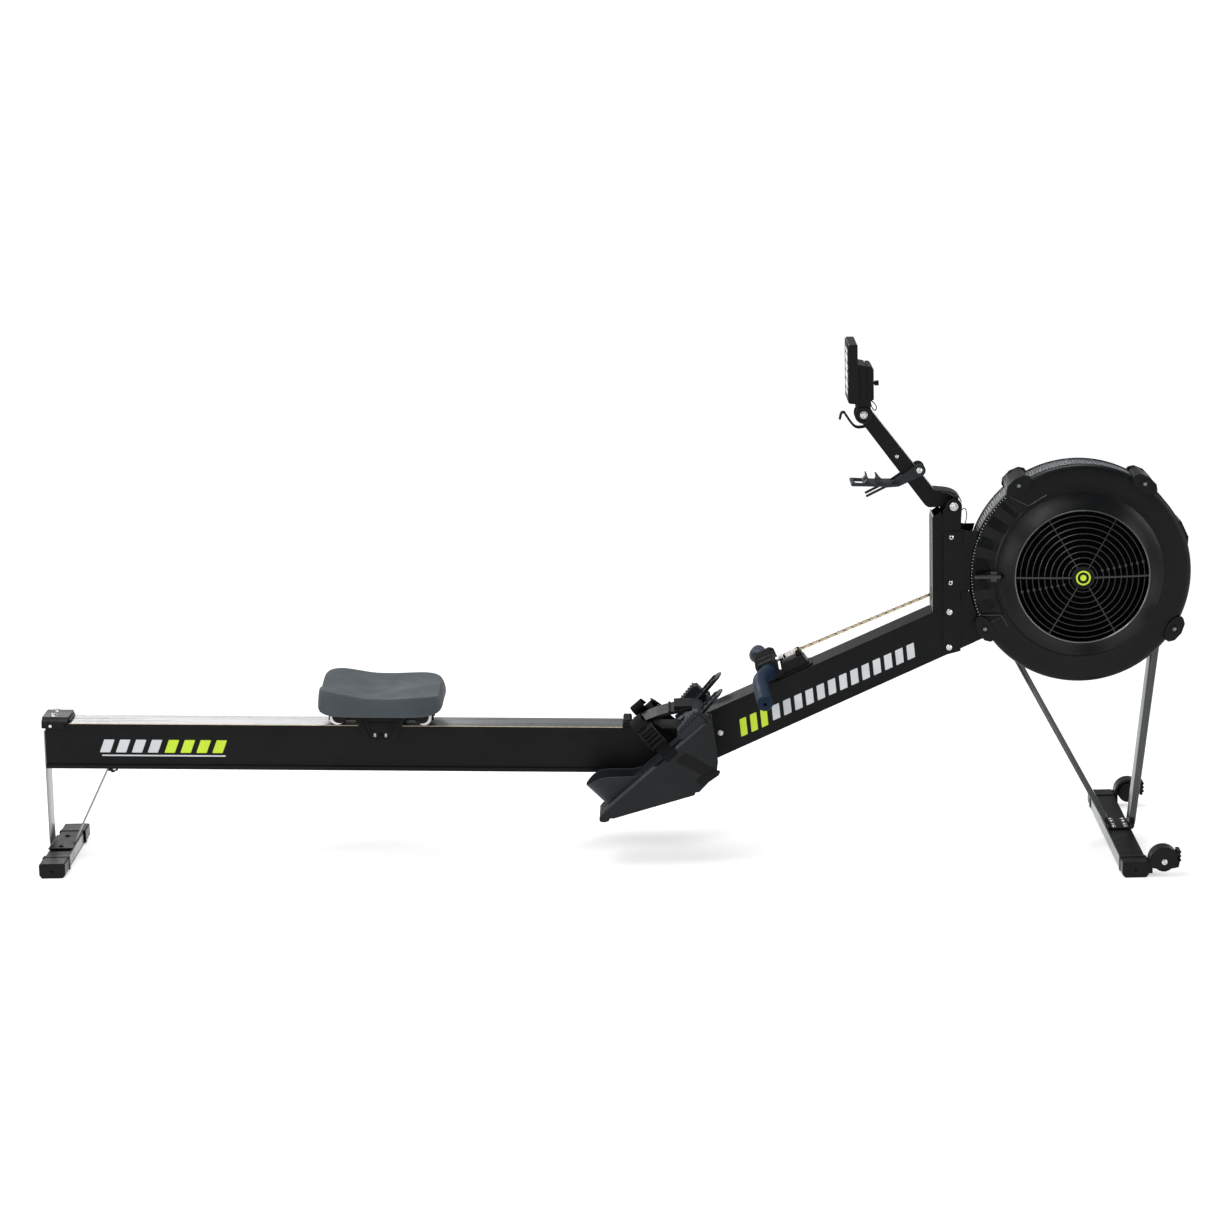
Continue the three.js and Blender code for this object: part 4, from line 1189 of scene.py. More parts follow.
# A light grey, half metallic ring over the black shell's own lip: a painted highlight along the grille's lit
# rim.
lip = turned([(139.2, -82.2), (141.8, -84.0), (141.2, -85.2), (139.8, -85.4), (138.6, -84.2)], segments=128,
             closed=True)
piece("grille_lip_painted_highlight", lip, finish("lip_painted_highlight", (0.10, 0.104, 0.11), (0.16, 0.165, 0.17), (0.2, 0.28), 0.7,
                                specular=0.6), frame_=FAN)
badge = turned([(0, -HUB_FACE + 9), (HUB_R, -HUB_FACE + 9), (HUB_R + 0.6, -HUB_FACE + 2),
                (HUB_R - 0.4, -HUB_FACE),
                (HUB_R - 2, -HUB_FACE - 1), (HUB_R - 4, -HUB_FACE - 0.2), (0, -HUB_FACE - 0.2)], segments=64)
piece("hub_badge", badge, dark_plastic, frame_=FAN)
rings_of_badge = join(
    turned([(12.0, -HUB_FACE), (15.4, -HUB_FACE), (15.4, -HUB_FACE - 0.7), (12.0, -HUB_FACE - 0.7)],
           segments=64, closed=True),
    turned([(0, -HUB_FACE), (6.4, -HUB_FACE), (6.4, -HUB_FACE - 0.7), (0, -HUB_FACE - 0.7)], segments=40))
piece("hub_badge_ring", rings_of_badge, lime_enamel, frame_=FAN)
print("grille rings", len(ring_radii))

# %% [markdown]
# ## Far shell, band and clips
# The far shell closes the fan on the drive side; low ribs stiffen it. Between the shells air leaves through a
# band of perforated sheet. The holes are real, because the band is seen edge-on and a painted hole would look
# flat there: each cell is a square with an eight-sided hole, and the cells are wrapped round a cylinder.

# %% Far shell
far_profile = [(0, 93), (54, 93), (58, 85), (GRILLE_R - 1, 77), (171, 54.5), (217, 50.5), (225.5, 47.5),
               (229, 42), (229, 36), (232, 36), (232, 42), (231.2, 46), (229.2, 49.4), (226, 52), (222, 53.6),
               (217, 54.2), (205, 54.8), (186, 56), (180, 56.4), (STEP_R, 56.8), (174.5, 56.2), (173, 57.4),
               (165, 62.6), (152, 72.4), (GRILLE_R + 2, 79), (GRILLE_R, 80.2), (136, 80.6), (132, 79.2),
               (122, 80.4), (118, 82.6), (114, 81.6), (104, 82.8), (100, 84.8), (96, 83.8), (84, 85),
               (80, 87),
               (76, 86), (64, 87.4), (60, 89), (56.5, 95), (54, 96.4), (0, 96.4)]
piece("fan_shell_back", turned(far_profile, segments=112), black_plastic, frame_=FAN, smooth=24,
      replaces=["fan_shell_far"])
ribs = []
for k in range(12):
    turn = math.radians(30 * k + 15)
    bm = extruded(rounded([(64, 82), (134, 76), (134, 81.6), (64, 89)], 1), -1.6, 1.6, "Z")
    bmesh.ops.rotate(bm, matrix=Matrix.Rotation(turn, 3, "Y"), verts=bm.verts)
    ribs.append(bm)
piece("back_shell_ribs", join(*ribs), black_plastic, frame_=FAN, bevel=0.5)
bolts("back_shell_screws", [(44 * math.cos(math.radians(60 * k)), 96.2, 44 * math.sin(math.radians(60 * k)))
                            for k in range(6)], (0, 1, 0), frame_=FAN, radius=3.4, height=2.4, kind="round",
      washer=1.2)

# %% Perforated band
BAND_R, BAND_HALF, BAND_FROM, BAND_TO = 229, 35.4, -25, 214


def perforated_band(rows=10, hole=2.5):
    pitch = BAND_HALF * 2 / rows
    columns = round(math.radians(BAND_TO - BAND_FROM) * BAND_R / pitch)
    turn_step = math.radians(BAND_TO - BAND_FROM) / columns
    bm = bmesh.new()
    border = [(-1, -1), (0, -1), (1, -1), (1, 0), (1, 1), (0, 1), (-1, 1), (-1, 0)]
    for c in range(columns):
        for row in range(rows):
            turn = math.radians(BAND_FROM) + turn_step * (c + 0.5)
            y = -BAND_HALF + pitch * (row + 0.5)

            def at(a, b):
                t = turn + a / BAND_R
                return (BAND_R * math.cos(t) * MM, (y + b) * MM, BAND_R * math.sin(t) * MM)

            half = turn_step * BAND_R / 2
            outer = [bm.verts.new(at(a * half, b * pitch / 2)) for a, b in border]
            inner = [bm.verts.new(at(hole * math.cos(math.radians(225 + 45 * k)),
                                     hole * math.sin(math.radians(225 + 45 * k)))) for k in range(8)]
            for k in range(8):
                n = (k + 1) % 8
                bm.faces.new((outer[k], outer[n], inner[n], inner[k]))
    bmesh.ops.remove_doubles(bm, verts=bm.verts, dist=0.00002)
    return bm


band = piece("fan_air_band", perforated_band(), grey_steel, frame_=FAN, smooth=30, replaces=["fan_band"])
band_skin = band.modifiers.new("sheet", "SOLIDIFY")
band_skin.thickness = 0.9 * MM
band_skin.offset = 0
lining = extruded(arc(0, 0, 225.4, BAND_FROM, BAND_TO, 90) + arc(0, 0, 224.6, BAND_TO, BAND_FROM, 90),
                  -BAND_HALF, BAND_HALF)
piece("fan_band_lining", lining, grey_steel, frame_=FAN)
edges = []
for y in (-BAND_HALF + 1.2, BAND_HALF - 1.2):
    ring = extruded(arc(0, 0, 230.6, BAND_FROM, BAND_TO, 100) + arc(0, 0, 228.4, BAND_TO, BAND_FROM, 100),
                    y - 1.4, y + 1.4)
    edges.append(ring)
piece("fan_band_edges", join(*edges), grey_steel, frame_=FAN, bevel=0.4)
print("band faces", len(band.data.polygons))

# %% [markdown]
# The two shells are drawn together by four clips. Each is a heavy block over the rim with flared ends and a
# screw sunk in its face, so it is drawn as the outline of that face and run across the whole fan.

# %% Clips
def polar(points):
    return [(r * math.cos(math.radians(a)), r * math.sin(math.radians(a))) for a, r in points]


for i, middle in enumerate((124.4, 55, 209.5, -31.6)):
    back = polar([(middle + a, r) for a,
                  r in ((-6.4, 231), (-6.2, 236), (-4.6, 243.5), (-2.4, 246), (2.4, 246),
                                              (4.6, 243.5), (6.2, 236), (6.4, 231), (3, 230.5), (-3, 230.5))])
    body = extruded(rounded(back, 2.0, 3), -47, 47)
    ears = []
    for side in (-1, 1):
        face = polar([(middle + a, r) for a,
                      r in ((-7.4, 226), (-7.2, 236), (-4.8, 244.5), (0, 248), (4.8, 244.5),
                                                  (7.2, 236), (7.4, 226), (4.6, 217), (0, 213.5),
                                                  (-4.6, 217))])
        ears.append(extruded(rounded(face, 3.5, 3), *span(side, 46, 58.5)))
        collar_at = polar([(middle, 231)])[0]
        low, high = span(side, 57, 61)
        ears.append(turned([(5.6, low), (9.2, low), (9.2, high - 0.6), (8.4, high), (6.4, high),
                            (5.6, high - 0.6)]
                           if side > 0 else
                           [(5.6, high), (9.2, high), (9.2, low + 0.6), (8.4, low), (6.4, low),
                            (5.6, low + 0.6)],
                           (collar_at[0], 0, collar_at[1]), 28, closed=True))
    piece(f"shell_clip_{i + 1}", join(body, *ears), black_plastic, frame_=FAN, bevel=1.5, segments=3,
          replaces=[f"fan_clip_{i + 1}"])
    spot = polar([(middle, 231)])[0]
    for side_name, side in NEAR_FAR:
        bolts(f"clip_{i + 1}_screw_{side_name}", [(spot[0], side * 57.6, spot[1])], (0, side, 0), frame_=FAN,
              radius=3.2, height=2.4, kind="round", washer=1.3, material=grey_steel)
bump = rounded(polar([(29, 229), (26.4, 236.5), (17.6, 238), (13.6, 232.4), (12.8, 228), (20, 226)]), 1.5)
piece("band_clamp", extruded(bump, -38, 38), black_plastic, frame_=FAN, bevel=1.2)

# %% [markdown]
# A lever on the pleated sector opens and closes the air intake. It stands on a pointed saddle and has a round
# nose, and small marks on the rim beside it show where it is set.

# %% Damper lever and its scale
lever = join(
    extruded(rounded([(-224, 3.2), (-172, 4.4), (-168, 3.4), (-168, -3.4), (-172, -4.4), (-224, -3.2)], 3),
             -69.5, -62),
    extruded(arc(0, 0, 190, 176.5, 183.5, 8) + arc(0, 0, 176, 183.5, 176.5, 8), -65, -60.6))
piece("damper_handle", lever, grille_paint, "damper", FAN, bevel=1.6, segments=3, replaces=["damper_lever"])
saddle = extruded(rounded([(-148, 0), (-170, 17), (-204, 6), (-222, 4), (-222, -4), (-204, -6),
                           (-170, -19)], 2), -60.2, -55)
piece("damper_saddle", saddle, black_plastic, frame_=FAN, bevel=1.4)
marks = []
for k in range(46):
    turn = 134 + 76 * k / 45
    long = 3.6 if k % 5 == 0 else 2.0
    tick = extruded(polar([(turn - 0.10, 229.6 - long), (turn + 0.10, 229.6 - long), (turn + 0.10, 229.6),
                           (turn - 0.10, 229.6)]), -50.9, -49.4)
    marks.append(tick)
piece("damper_scale", join(*marks), silver_vinyl, frame_=FAN)

# %% [markdown]
# ## Fan wheel
# Behind the grille a black wheel turns: a thin disc with a heavy rim and a cage of flat blades. Only glimpses
# of it show, but the blades give those glimpses their rhythm when the wheel is posed at another angle.

# %% Fan wheel
wheel = [turned([(0, -80), (6, -80), (6, -40), (25, -38), (25, -25), (150, -25), (152, -38), (186, -38),
                 (188, -36),
                 (188, -10), (186, -8), (152, -8), (150, -21), (25, -21), (25, -8), (6, -8), (6, 80),
                 (0, 80)],
                segments=96)]
for k in range(20):
    blade = extruded(rounded([(62, -36), (148, -36.5), (148, -25), (62, -25)], 1), -0.8, 0.8, "Z")
    bmesh.ops.rotate(blade, matrix=Matrix.Rotation(math.radians(18 * k), 3, "Y"), verts=blade.verts)
    wheel.append(blade)
wheel_black = finish("wheel_black", (0.0014, 0.0014, 0.0015), (0.0022, 0.0022, 0.0024), (0.6, 0.75),
                     specular=0.04)
piece("fan_wheel_disc", join(*wheel), wheel_black, "fan_wheel", FAN, smooth=30, replaces=["flywheel"])
dress("sprocket", zinc, bevel=0.3)
print("wheel blades 20")
# %% [markdown]
# ## Footboards
# Each footboard is a sloped moulded tray on a deep triangular side panel. The frame's `FOOT` axes run along
# the board and straight up from it, so every foot piece is drawn flat in those axes and tilted once. The near
# and far boards are mirror images, so one loop makes both.

# %% Footboards
FOOT_CENTRE = 98
panel_outline = [(0, 0), (-9, -2), (-13, -9), (-5, -17), (2, -20), (8, -17.5), (14, -23), (174, -98),
                 (180, -95.5), (186, -99.6), (214, -97.2), (222, -89), (240, -94), (260, -76), (305, -5),
                 (300, 0)]
panel_corner = [1, 5, 5, 2, 2, 2, 2, 2, 2, 3, 3, 2, 5, 8, 6, 1]
for side_name, side in NEAR_FAR:
    outer, inner = span(side, 145.5, 150), span(side, 47, 50.5)
    board = [
        extruded(rounded(panel_outline, panel_corner, 3), *outer),
        extruded(rounded(panel_outline, panel_corner, 3), *inner),
        extruded(rounded([(-11, -3), (-6, -9), (303, -9), (299, -1.5), (0, -1.5)], 2),
                 *span(side, 47.5, 149)),
        extruded(rounded([(258, -76), (304, -8), (300, -8), (254, -76)], 1), *span(side, 50, 147)),
    ]
    piece(f"foot_panel_{side_name}", join(*board), panel_plastic, frame_=FOOT, bevel=1.1,
          segments=3, replaces=[f"footboard_{side_name}"])
    edge_rails = [extruded(rounded([(2, -1.6), (12, 5.4), (148, 5.4), (156, 0.4), (156, -1.6)], 1),
                           *span(side, 138, 149)),
                  extruded(rounded([(212, -1.6), (212, 5.4), (288, 5.4), (297, -1.6)], 1),
                           *span(side, 138, 149)),
                  extruded(rounded([(2, -1.6), (14, 2.6), (290, 2.6), (298, -1.6)], 1), *span(side, 48, 56))]
    for k in range(9):
        s = 34 + 11 * k
        edge_rails.append(block((s, s + 3), span(side, 60, 134), (-2, -0.4)))
    piece(f"foot_rails_{side_name}", join(*edge_rails), rib_plastic, frame_=FOOT, bevel=0.6)
    clip = rounded([(226, -3), (231, 21), (239, 26), (290, 34), (298, 30), (300, -3)], [1, 5, 5, 4, 4, 1])
    clip_body = extruded(clip, *span(side, 106, 140))
    clip_ribs = [extruded(rounded([(238 + 7.2 * k, 24.8 + 1.2 * k), (241.6 + 7.2 * k, 25.4 + 1.2 * k),
                                   (241.6 + 7.2 * k, 28.6 + 1.2 * k), (238 + 7.2 * k, 28.0 + 1.2 * k)], 0.8),
                          *span(side, 107.5, 138.5)) for k in range(8)]
    for k in range(7):
        s = 235 + 8.2 * k
        clip_ribs.append(extruded(rounded([(s, 7), (s + 3.4, 7), (s + 5.4, 23 + 1.2 * k),
                                           (s + 2, 22.4 + 1.2 * k)], 0.8),
                                  *span(side, 139.6, 141.4)))
    step = extruded(rounded([(234, 2), (236, 20), (296, 24), (297, 2)], 3), *span(side, 143.6, 146.5))
    piece(f"foot_edge_{side_name}", join(clip_body, step), slate_plastic, frame_=FOOT,
          bevel=0.9, segments=2)
    piece(f"foot_clip_ribs_{side_name}", join(*clip_ribs), rib_plastic, frame_=FOOT, bevel=0.4)
    latch = [extruded(rounded([(197, -82), (204, -77), (245, -87), (250, -95), (242, -99), (202, -95)], 3),
                      *span(side, 149.6, 153.4)),
             extruded(rounded([(193, -17), (220, -16), (244, -84), (219, -88)], 2),
                      *span(side, 149.9, 150.9))]
    piece(f"foot_latch_{side_name}", join(*latch), dark_plastic, frame_=FOOT, bevel=0.8)
print("footboards ready")

# %% [markdown]
# ## Heel cups
# A heel cup slides up and down the board to suit the shoe. It is a thin wall that runs round the heel and
# falls away toward the toes, on a flat sole with a long tongue that pokes out past the top of the board and
# has a row of pill-shaped slots. The wall is swept round the heel point by point, because its height changes
# all the way.

# %% Heel cups
def heel_wall(side):
    middle = side * FOOT_CENTRE
    route = [(118 - 6 * k, middle - 33.5) for k in range(11)]
    route += [(52 + 33.5 * math.cos(math.radians(a)), middle + 33.5 * math.sin(math.radians(a)))
              for a in range(-90, -271, -12)]
    route += [(52 + 6 * k + 6, middle + 33.5) for k in range(11)]
    bm = bmesh.new()
    rows = []
    count = len(route)
    for i, (s, y) in enumerate(route):
        before, after = route[max(i - 1, 0)], route[min(i + 1, count - 1)]
        along = Vector((after[0] - before[0], after[1] - before[1])).normalized()
        out = Vector((-along.y, along.x))
        if (Vector((s - 52, y - middle))).dot(out) < 0 and s < 100:
            out = -out
        if s >= 100 or abs(s - 52) > 34:
            out = Vector((0, 1 if y > middle else -1))
        top = 8 + 55 * (1 - smooth_step(s, 30, 118)) ** 0.8
        flare = 5.0 * (1 - smooth_step(s, 20, 100))
        section = [(0, 1.2), (0.6 * flare, top * 0.6), (flare, top - 1), (flare + 1.2, top),
                   (flare + 2.6, top - 1),
                   (0.6 * flare + 2.8, top * 0.6), (2.8, 1.2)]
        rows.append([bm.verts.new(((s + out.x * a) * MM, (y + out.y * a) * MM, n * MM)) for a, n in section])
    for a, b in zip(rows, rows[1:]):
        for k in range(len(a)):
            n = (k + 1) % len(a)
            bm.faces.new((a[k], a[n], b[n], b[k]))
    bm.faces.new(rows[0])
    bm.faces.new(rows[-1])
    return bm


for side_name, side in NEAR_FAR:
    sole_outline = [(18, -33), (30, -36), (190, -36), (190, 36), (30, 36), (18, 33)]
    middle = side * FOOT_CENTRE
    sole = extruded(rounded([(a, middle + b) for a, b in sole_outline], 8), 0.6, 3.6, "Z")
    grooves = [block((66 + 12 * k, 70 + 12 * k), (middle - 26, middle + 26), (3.4, 4.6)) for k in range(9)]
    tongue_side = rounded([(186, 0.8), (226, 0.8), (292, 10.4), (352, 18.6), (362, 20.6), (352, 22.6),
                           (290, 14.2),
                           (224, 4.4), (186, 3.8)], 2)
    tongue = extruded(tongue_side, *span(side, 59, 103))
    point = [(330, 59), (350, 60), (360, 72), (360, 90), (350, 102), (330, 103), (400, 103), (400, 59)]
    slots = [extruded(rounded([(s, side * y - 7.5), (s + 6.4, side * y - 7.5), (s + 6.4, side * y + 7.5),
                               (s, side * y + 7.5)], 2.8), -5, 40, "Z")
             for s in (296, 309, 322, 335) for y in (70.5, 91.5)]
    slots.append(extruded([(s, side * y) for s, y in point], -5, 60, "Z"))
    tongue = carved(tongue, *slots)
    tongue_rails = [extruded(rounded([(270, 8.5), (346, 19.5), (346, 22.5), (340, 24.2), (270, 14.4)], 1), *y)
                    for y in (span(side, 59, 61.4), span(side, 100.6, 103))]
    piece(f"heel_shell_{side_name}", join(sole, heel_wall(side), tongue, *grooves, *tongue_rails),
          slate_plastic,
          f"heel_{side_name}", FOOT, bevel=0.5, smooth=40, replaces=[f"heel_cup_{side_name}"])

# %% [markdown]
# ## Foot straps
# A strap of webbing crosses each foot. It rises from the outer edge of the board, passes through a ribbed
# buckle, and goes down on the inner side; its loose end curls over it as a loop. Webbing stays flat and
# stiff, so the strap is a thin section carried over an arch, with its own length stored as UVs for
# the weave.

# %% Straps
STRAP_HALF = 14.5
STRAP_RISE = 68
STRAP_MIDDLE = 194
STRAP_REACH = 47
STRAP_LEAN = -0.10
STRAP_FULLNESS = 0.85


def strap_height(turn, base=4, extra=0):
    """Height of the strap's arch above the board, turn radians round from its outer end."""
    return base + (STRAP_RISE + extra) * math.sin(turn) ** STRAP_FULLNESS


def ribbon(name, route, half, thickness, material, frame_, s_middle, lean=0.0):
    """A flat strap over points (y, n), as wide as half to both sides of s_middle, and its middle line."""
    path = [Vector(p) for p in route]
    bm = bmesh.new()
    uv = bm.loops.layers.uv.new("UVMap")
    rows, lengths = [], [0.0]
    for i, p in enumerate(path):
        if i:
            lengths.append(lengths[-1] + (p - path[i - 1]).length)
        along = (path[min(i + 1, len(path) - 1)] - path[max(i - 1, 0)]).normalized()
        out = Vector((-along.y, along.x))
        shift = lean * p.y
        row = []
        for s, t in ((-half, 0), (half, 0), (half, 1), (-half, 1)):
            place = p + out * (thickness * t)
            row.append(bm.verts.new(((s_middle + s + shift) * MM, place.x * MM, place.y * MM)))
        rows.append(row)
    for i, (a, b) in enumerate(zip(rows, rows[1:])):
        for k in range(4):
            n = (k + 1) % 4
            face = bm.faces.new((a[k], a[n], b[n], b[k]))
            across = (0.0, half * 2 * MM, half * 2 * MM, 0.0)
            for loop, (u, v) in zip(face.loops, ((lengths[i], across[k]), (lengths[i], across[n]),
                                                 (lengths[i + 1], across[n]), (lengths[i + 1], across[k]))):
                loop[uv].uv = (u * MM, v)
    bm.faces.new(rows[0])
    bm.faces.new(rows[-1])
    strap = piece(name, bm, material, frame_=frame_, smooth=50)
    centre = [frame_ @ Vector(((s_middle + lean * p.y) * MM, p.x * MM, p.y * MM)) / MM for p in path]
    return strap, centre


for side_name, side in NEAR_FAR:
    middle = side * FOOT_CENTRE
    turns = [math.radians(a) for a in range(4, 177, 4)]
    arch = [(STRAP_REACH * math.cos(a), strap_height(a)) for a in turns]
    route = [(middle + side * 53, -7), (middle + side * 53.4, -2), (middle + side * 51, 3)]
    route += [(middle + side * y, n) for y, n in arch]
    strap, strap_line = ribbon(f"strap_{side_name}", route, STRAP_HALF, 1.8 * side, webbing, FOOT,
                               STRAP_MIDDLE, STRAP_LEAN)
    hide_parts(f"foot_strap_{side_name}")
    inner_loop = curve_through([(middle - side * 20, 68, 0), (middle - side * 40, 80, 0),
                                (middle - side * 34, 94, 0), (middle - side * 8, 90, 0),
                                (middle + side * 8, 75, 0)], 6)
    tail, _ = ribbon(f"strap_tail_{side_name}", [(p.x, p.y) for p in inner_loop], 14, 1.6 * side, webbing,
                     FOOT, 178, 0.0)
    buckle = []
    bar_section = rounded([(-2.2, -3.2), (2.2, -3.2), (2.2, 3.2), (-2.2, 3.2)], 1.2)
    for k in range(5):
        a = math.radians(22 + 9.5 * k)
        y, n = middle + side * 49.5 * math.cos(a), strap_height(a, 5, 1.5)
        along = STRAP_MIDDLE + STRAP_LEAN * n
        buckle.append(swept([(along - 16, y, n), (along + 16, y, n)], bar_section))
    for end in (-1, 1):
        cheek = []
        for a in [math.radians(degrees) for degrees in range(16, 71, 6)]:
            along = STRAP_MIDDLE + end * 16.5 + STRAP_LEAN * strap_height(a, 5, 1.5)
            cheek.append((along, middle + side * 50.4 * math.cos(a), strap_height(a, 5, 2.5)))
        buckle.append(swept(cheek, rounded([(-3.6, -1.4), (3.6, -1.4), (3.6, 1.4), (-3.6, 1.4)], 1)))
    buckle_piece = piece(f"strap_buckle_{side_name}", join(*buckle), dark_plastic, frame_=FOOT, bevel=0.4)
print("straps ready")

# %% [markdown]
# ## Cover between the feet
# A curved cover bridges the joint of beam and tube between the two footboards, with a notch halfway where it
# clips to the tube. It is a thin sheet with turned-down edges, so a side outline is run across the machine
# and its edges are given a good rounding.

# %% Joint cover
cover_side = [(38, 275.6), (66, 291), (92, 301), (118, 308.2), (168, 317), (188, 313.4), (187, 307),
              (166, 310.6),
              (119, 301.6), (92, 294), (64, 277)]
piece("joint_cover", extruded(rounded(cover_side, [1, 12, 12, 12, 12, 3, 3, 10, 10, 10, 1], 4), -45.5, 45.5),
      black_plastic, bevel=1.8, segments=3, replaces=["foot_cover"])
notch = join(block((116, 121), (-46.4, 46.4), (303, 311)), block((128, 166), (-38, 38), (311, 319.4)))
piece("joint_cover_notch", notch, dull_rubber, bevel=1.4)
# %% [markdown]
# ## Rear leg
# A flat steel plate, bent at the bottom, stands on a short cross tube, and a thin bent strap braces it to the
# beam. Both are flat bar, so both are one section swept along a bent line. The bend keeps a small radius, as
# a press brake leaves it.

# %% Rear leg
def flat_bar(path, half_width, thickness, corner=0.8):
    """Flat bar bent along a line of (x, z) points, as wide as half_width to both sides."""
    section = rounded([(-half_width, -thickness / 2), (half_width, -thickness / 2),
                       (half_width, thickness / 2), (-half_width, thickness / 2)], corner, 2)
    return swept([(x, 0, z) for x, z in path], section)


rear_plate = flat_bar([(-1215.2, 288), (-1215.2, 44), *arc(-1207.4, 41.6, 7.8, 180, 270, 6), (-1196, 33.8)],
                      30, 3.2)
piece("rear_leg_plate", rear_plate, grey_steel, replaces=["rear_leg"], smooth=40)
piece("rear_leg_saddle", block((-1216, -1163), (-56, 56), (33.0, 36.4)), black_paint, bevel=1.2)
brace = flat_bar([(-1062, 203.2), (-1078, 203.2), (-1084, 201.4), (-1087, 197), (-1160, 50), (-1167.4, 36)],
                 20, 3)
piece("rear_brace_strap", brace, grey_steel, replaces=["rear_brace"], smooth=40)
bolts("brace_nuts", [(-1072, -9, 201.6), (-1072, 9, 201.6)], (0, 0, -1), radius=5.4, height=6)
brace_pads = join(*[extruded(oval(-1072, y, 9, 8, 20), 199.4, 201.7, "Z") for y in (-10, 10)])
piece("brace_pads", brace_pads, dark_plastic, bevel=0.5)
bolts("leg_saddle_bolts", [(-1190, -42, 36.4), (-1190, 42, 36.4)], (0, 0, 1), radius=4.5, height=3,
      kind="round", material=dark_plastic)

# %% [markdown]
# ## Cross feet
# Both feet are painted box tubes with a moulded cap pushed on each end. The caps are softer in shape than the
# tube: chamfered underneath, rounded on top, with a small drain hole in the face. They are what touches the
# floor, so their underside stays flat.

# %% Rear foot
dress("rear_foot", black_paint, bevel=2.0, segments=3)
side_strip = block((-1165.9, -1165.2), (-100, 100), (6, 28))
piece("rear_foot_side_strip", side_strip, grey_steel, bevel=0.2)


def foot_cap(name, x, y_span, top, node, outward):
    """A moulded end cap over a box tube, with a drain hole in its face."""
    x0, x1 = x
    outline = rounded([(x0, 7), (x0 + 6, 0), (x1 - 6, 0), (x1, 7), (x1, top), (x0, top)], [2, 3, 3, 2, 5, 5])
    face = y_span[0] if outward < 0 else y_span[1]
    inner = y_span[1] if outward < 0 else y_span[0]
    body = extruded(outline, *y_span)
    drain = turned([(0, face - 6), (2.2, face - 6), (2.2, face + 6), (0, face + 6)],
                   ((x0 + x1) / 2, 0, top * 0.47), 16)
    shell = carved(body, drain)
    rim_low, rim_high = sorted((inner, inner + outward * 12))
    rim = extruded(rounded([(x0 - 1.2, 4), (x1 + 1.2, 4), (x1 + 1.2, top + 1.2), (x0 - 1.2, top + 1.2)],
                           [1, 1, 5, 5]), rim_low, rim_high)
    return piece(name, join(shell, rim), black_plastic, bevel=1.4, segments=3, replaces=node)


for side_name, side in NEAR_FAR:
    foot_cap(f"rear_cap_foot_{side_name}", (-1217.5, -1162), span(side, 102, 166), 32,
             [f"rear_foot_cap_{side_name}"], side)

# %% [markdown]
# ## Front legs
# Two struts rise from a base plate to the fan. Each is a rounded flat tube with a shallow groove down its
# narrow side, which draws the dark line between two bright ones. The section is therefore drawn with the
# groove in it, and the bright and dark stripes come from the shape, not from paint.

# %% Front legs
strut_steel = finish("strut_steel", (0.045, 0.049, 0.052), (0.085, 0.090, 0.094), (0.22, 0.32), 0.85,
                     grain=900, depth=0.00003, stretch=(1, 1, 0.06))


def strut(name, foot, head, thick_foot, thick_head, half_width, node):
    """A grooved flat tube from foot to head, both (x, z), growing from one thickness to the other."""
    half = [(-half_width, -0.22), (-half_width + 1.4, -0.08), (-half_width + 1.4, 0.08), (-half_width, 0.22),
            (-half_width, 0.36), (-half_width + 1.6, 0.47), (-half_width + 5, 0.5)]
    other = [(-a, b) for a, b in reversed(half)]
    low_half = [(-half_width + 5, -0.5), (-half_width + 1.6, -0.47), (-half_width, -0.36)]
    section = low_half + half + other + [(-a, b) for a, b in reversed(low_half)]
    bm = bmesh.new()
    along = (Vector((head[0], 0, head[1])) - Vector((foot[0], 0, foot[1]))).normalized()
    across = Vector((along.z, 0, -along.x))
    rings = []
    for k in range(13):
        t = k / 12
        centre = Vector((foot[0] + (head[0] - foot[0]) * t, 0, foot[1] + (head[1] - foot[1]) * t))
        thick = thick_foot + (thick_head - thick_foot) * t
        rings.append([bm.verts.new((centre + Vector((0, a, 0)) + across * (b * thick)) * MM)
                      for a, b in section])
    for a, b in zip(rings, rings[1:]):
        for k in range(len(section)):
            n = (k + 1) % len(section)
            bm.faces.new((a[k], a[n], b[n], b[k]))
    bm.faces.new(rings[0])
    bm.faces.new(rings[-1])
    return piece(name, bm, strut_steel, smooth=30, bevel=0.5, replaces=[node])


strut("inner_strut", (1050.5, 40), (820, 470), 12.5, 12.5, 23.5, "front_leg_inner")
strut("outer_strut", (1101.5, 40), (1153.5, 472), 14, 18, 23.5, "front_leg_outer")

base_path = [(1046, 52), (1050.5, 41), *arc(1056, 39.5, 5.2, 190, 265, 5), (1064, 34.2), (1090, 34.2),
             *arc(1097, 39.4, 5.2, 275, 350, 5), (1103.4, 52)]
piece("leg_base", flat_bar(base_path, 40, 4.0, 1.2), black_paint, smooth=40)
corner_places = [(x, y, 36) for x in (1062, 1088) for y in (-30, -12)]
bolts("leg_base_bolts", corner_places, (0, 0, 1), radius=4.6, height=3.2, kind="round")
bolts("leg_base_far_bolts", [(x, -y, z) for x, y, z in corner_places], (0, 0, 1), radius=4.6, height=3.2,
      kind="round")
front_tube_foot = extruded(rounded([(1047, 2), (1099, 2), (1099, 32), (1047, 32)], 4), -250.6, 250.6)
piece("front_foot_tube", front_tube_foot, black_paint, replaces=["front_foot"], bevel=0.6)

# %% [markdown]
# ## Front foot caps and casters
# Each front cap also carries a small wheel inside a round guard, so that the machine can be tipped up and
# rolled away. The guard is a drum that is open below, with a toothed edge on its front; the wheel is a
# separate piece on its own axle, because it turns.

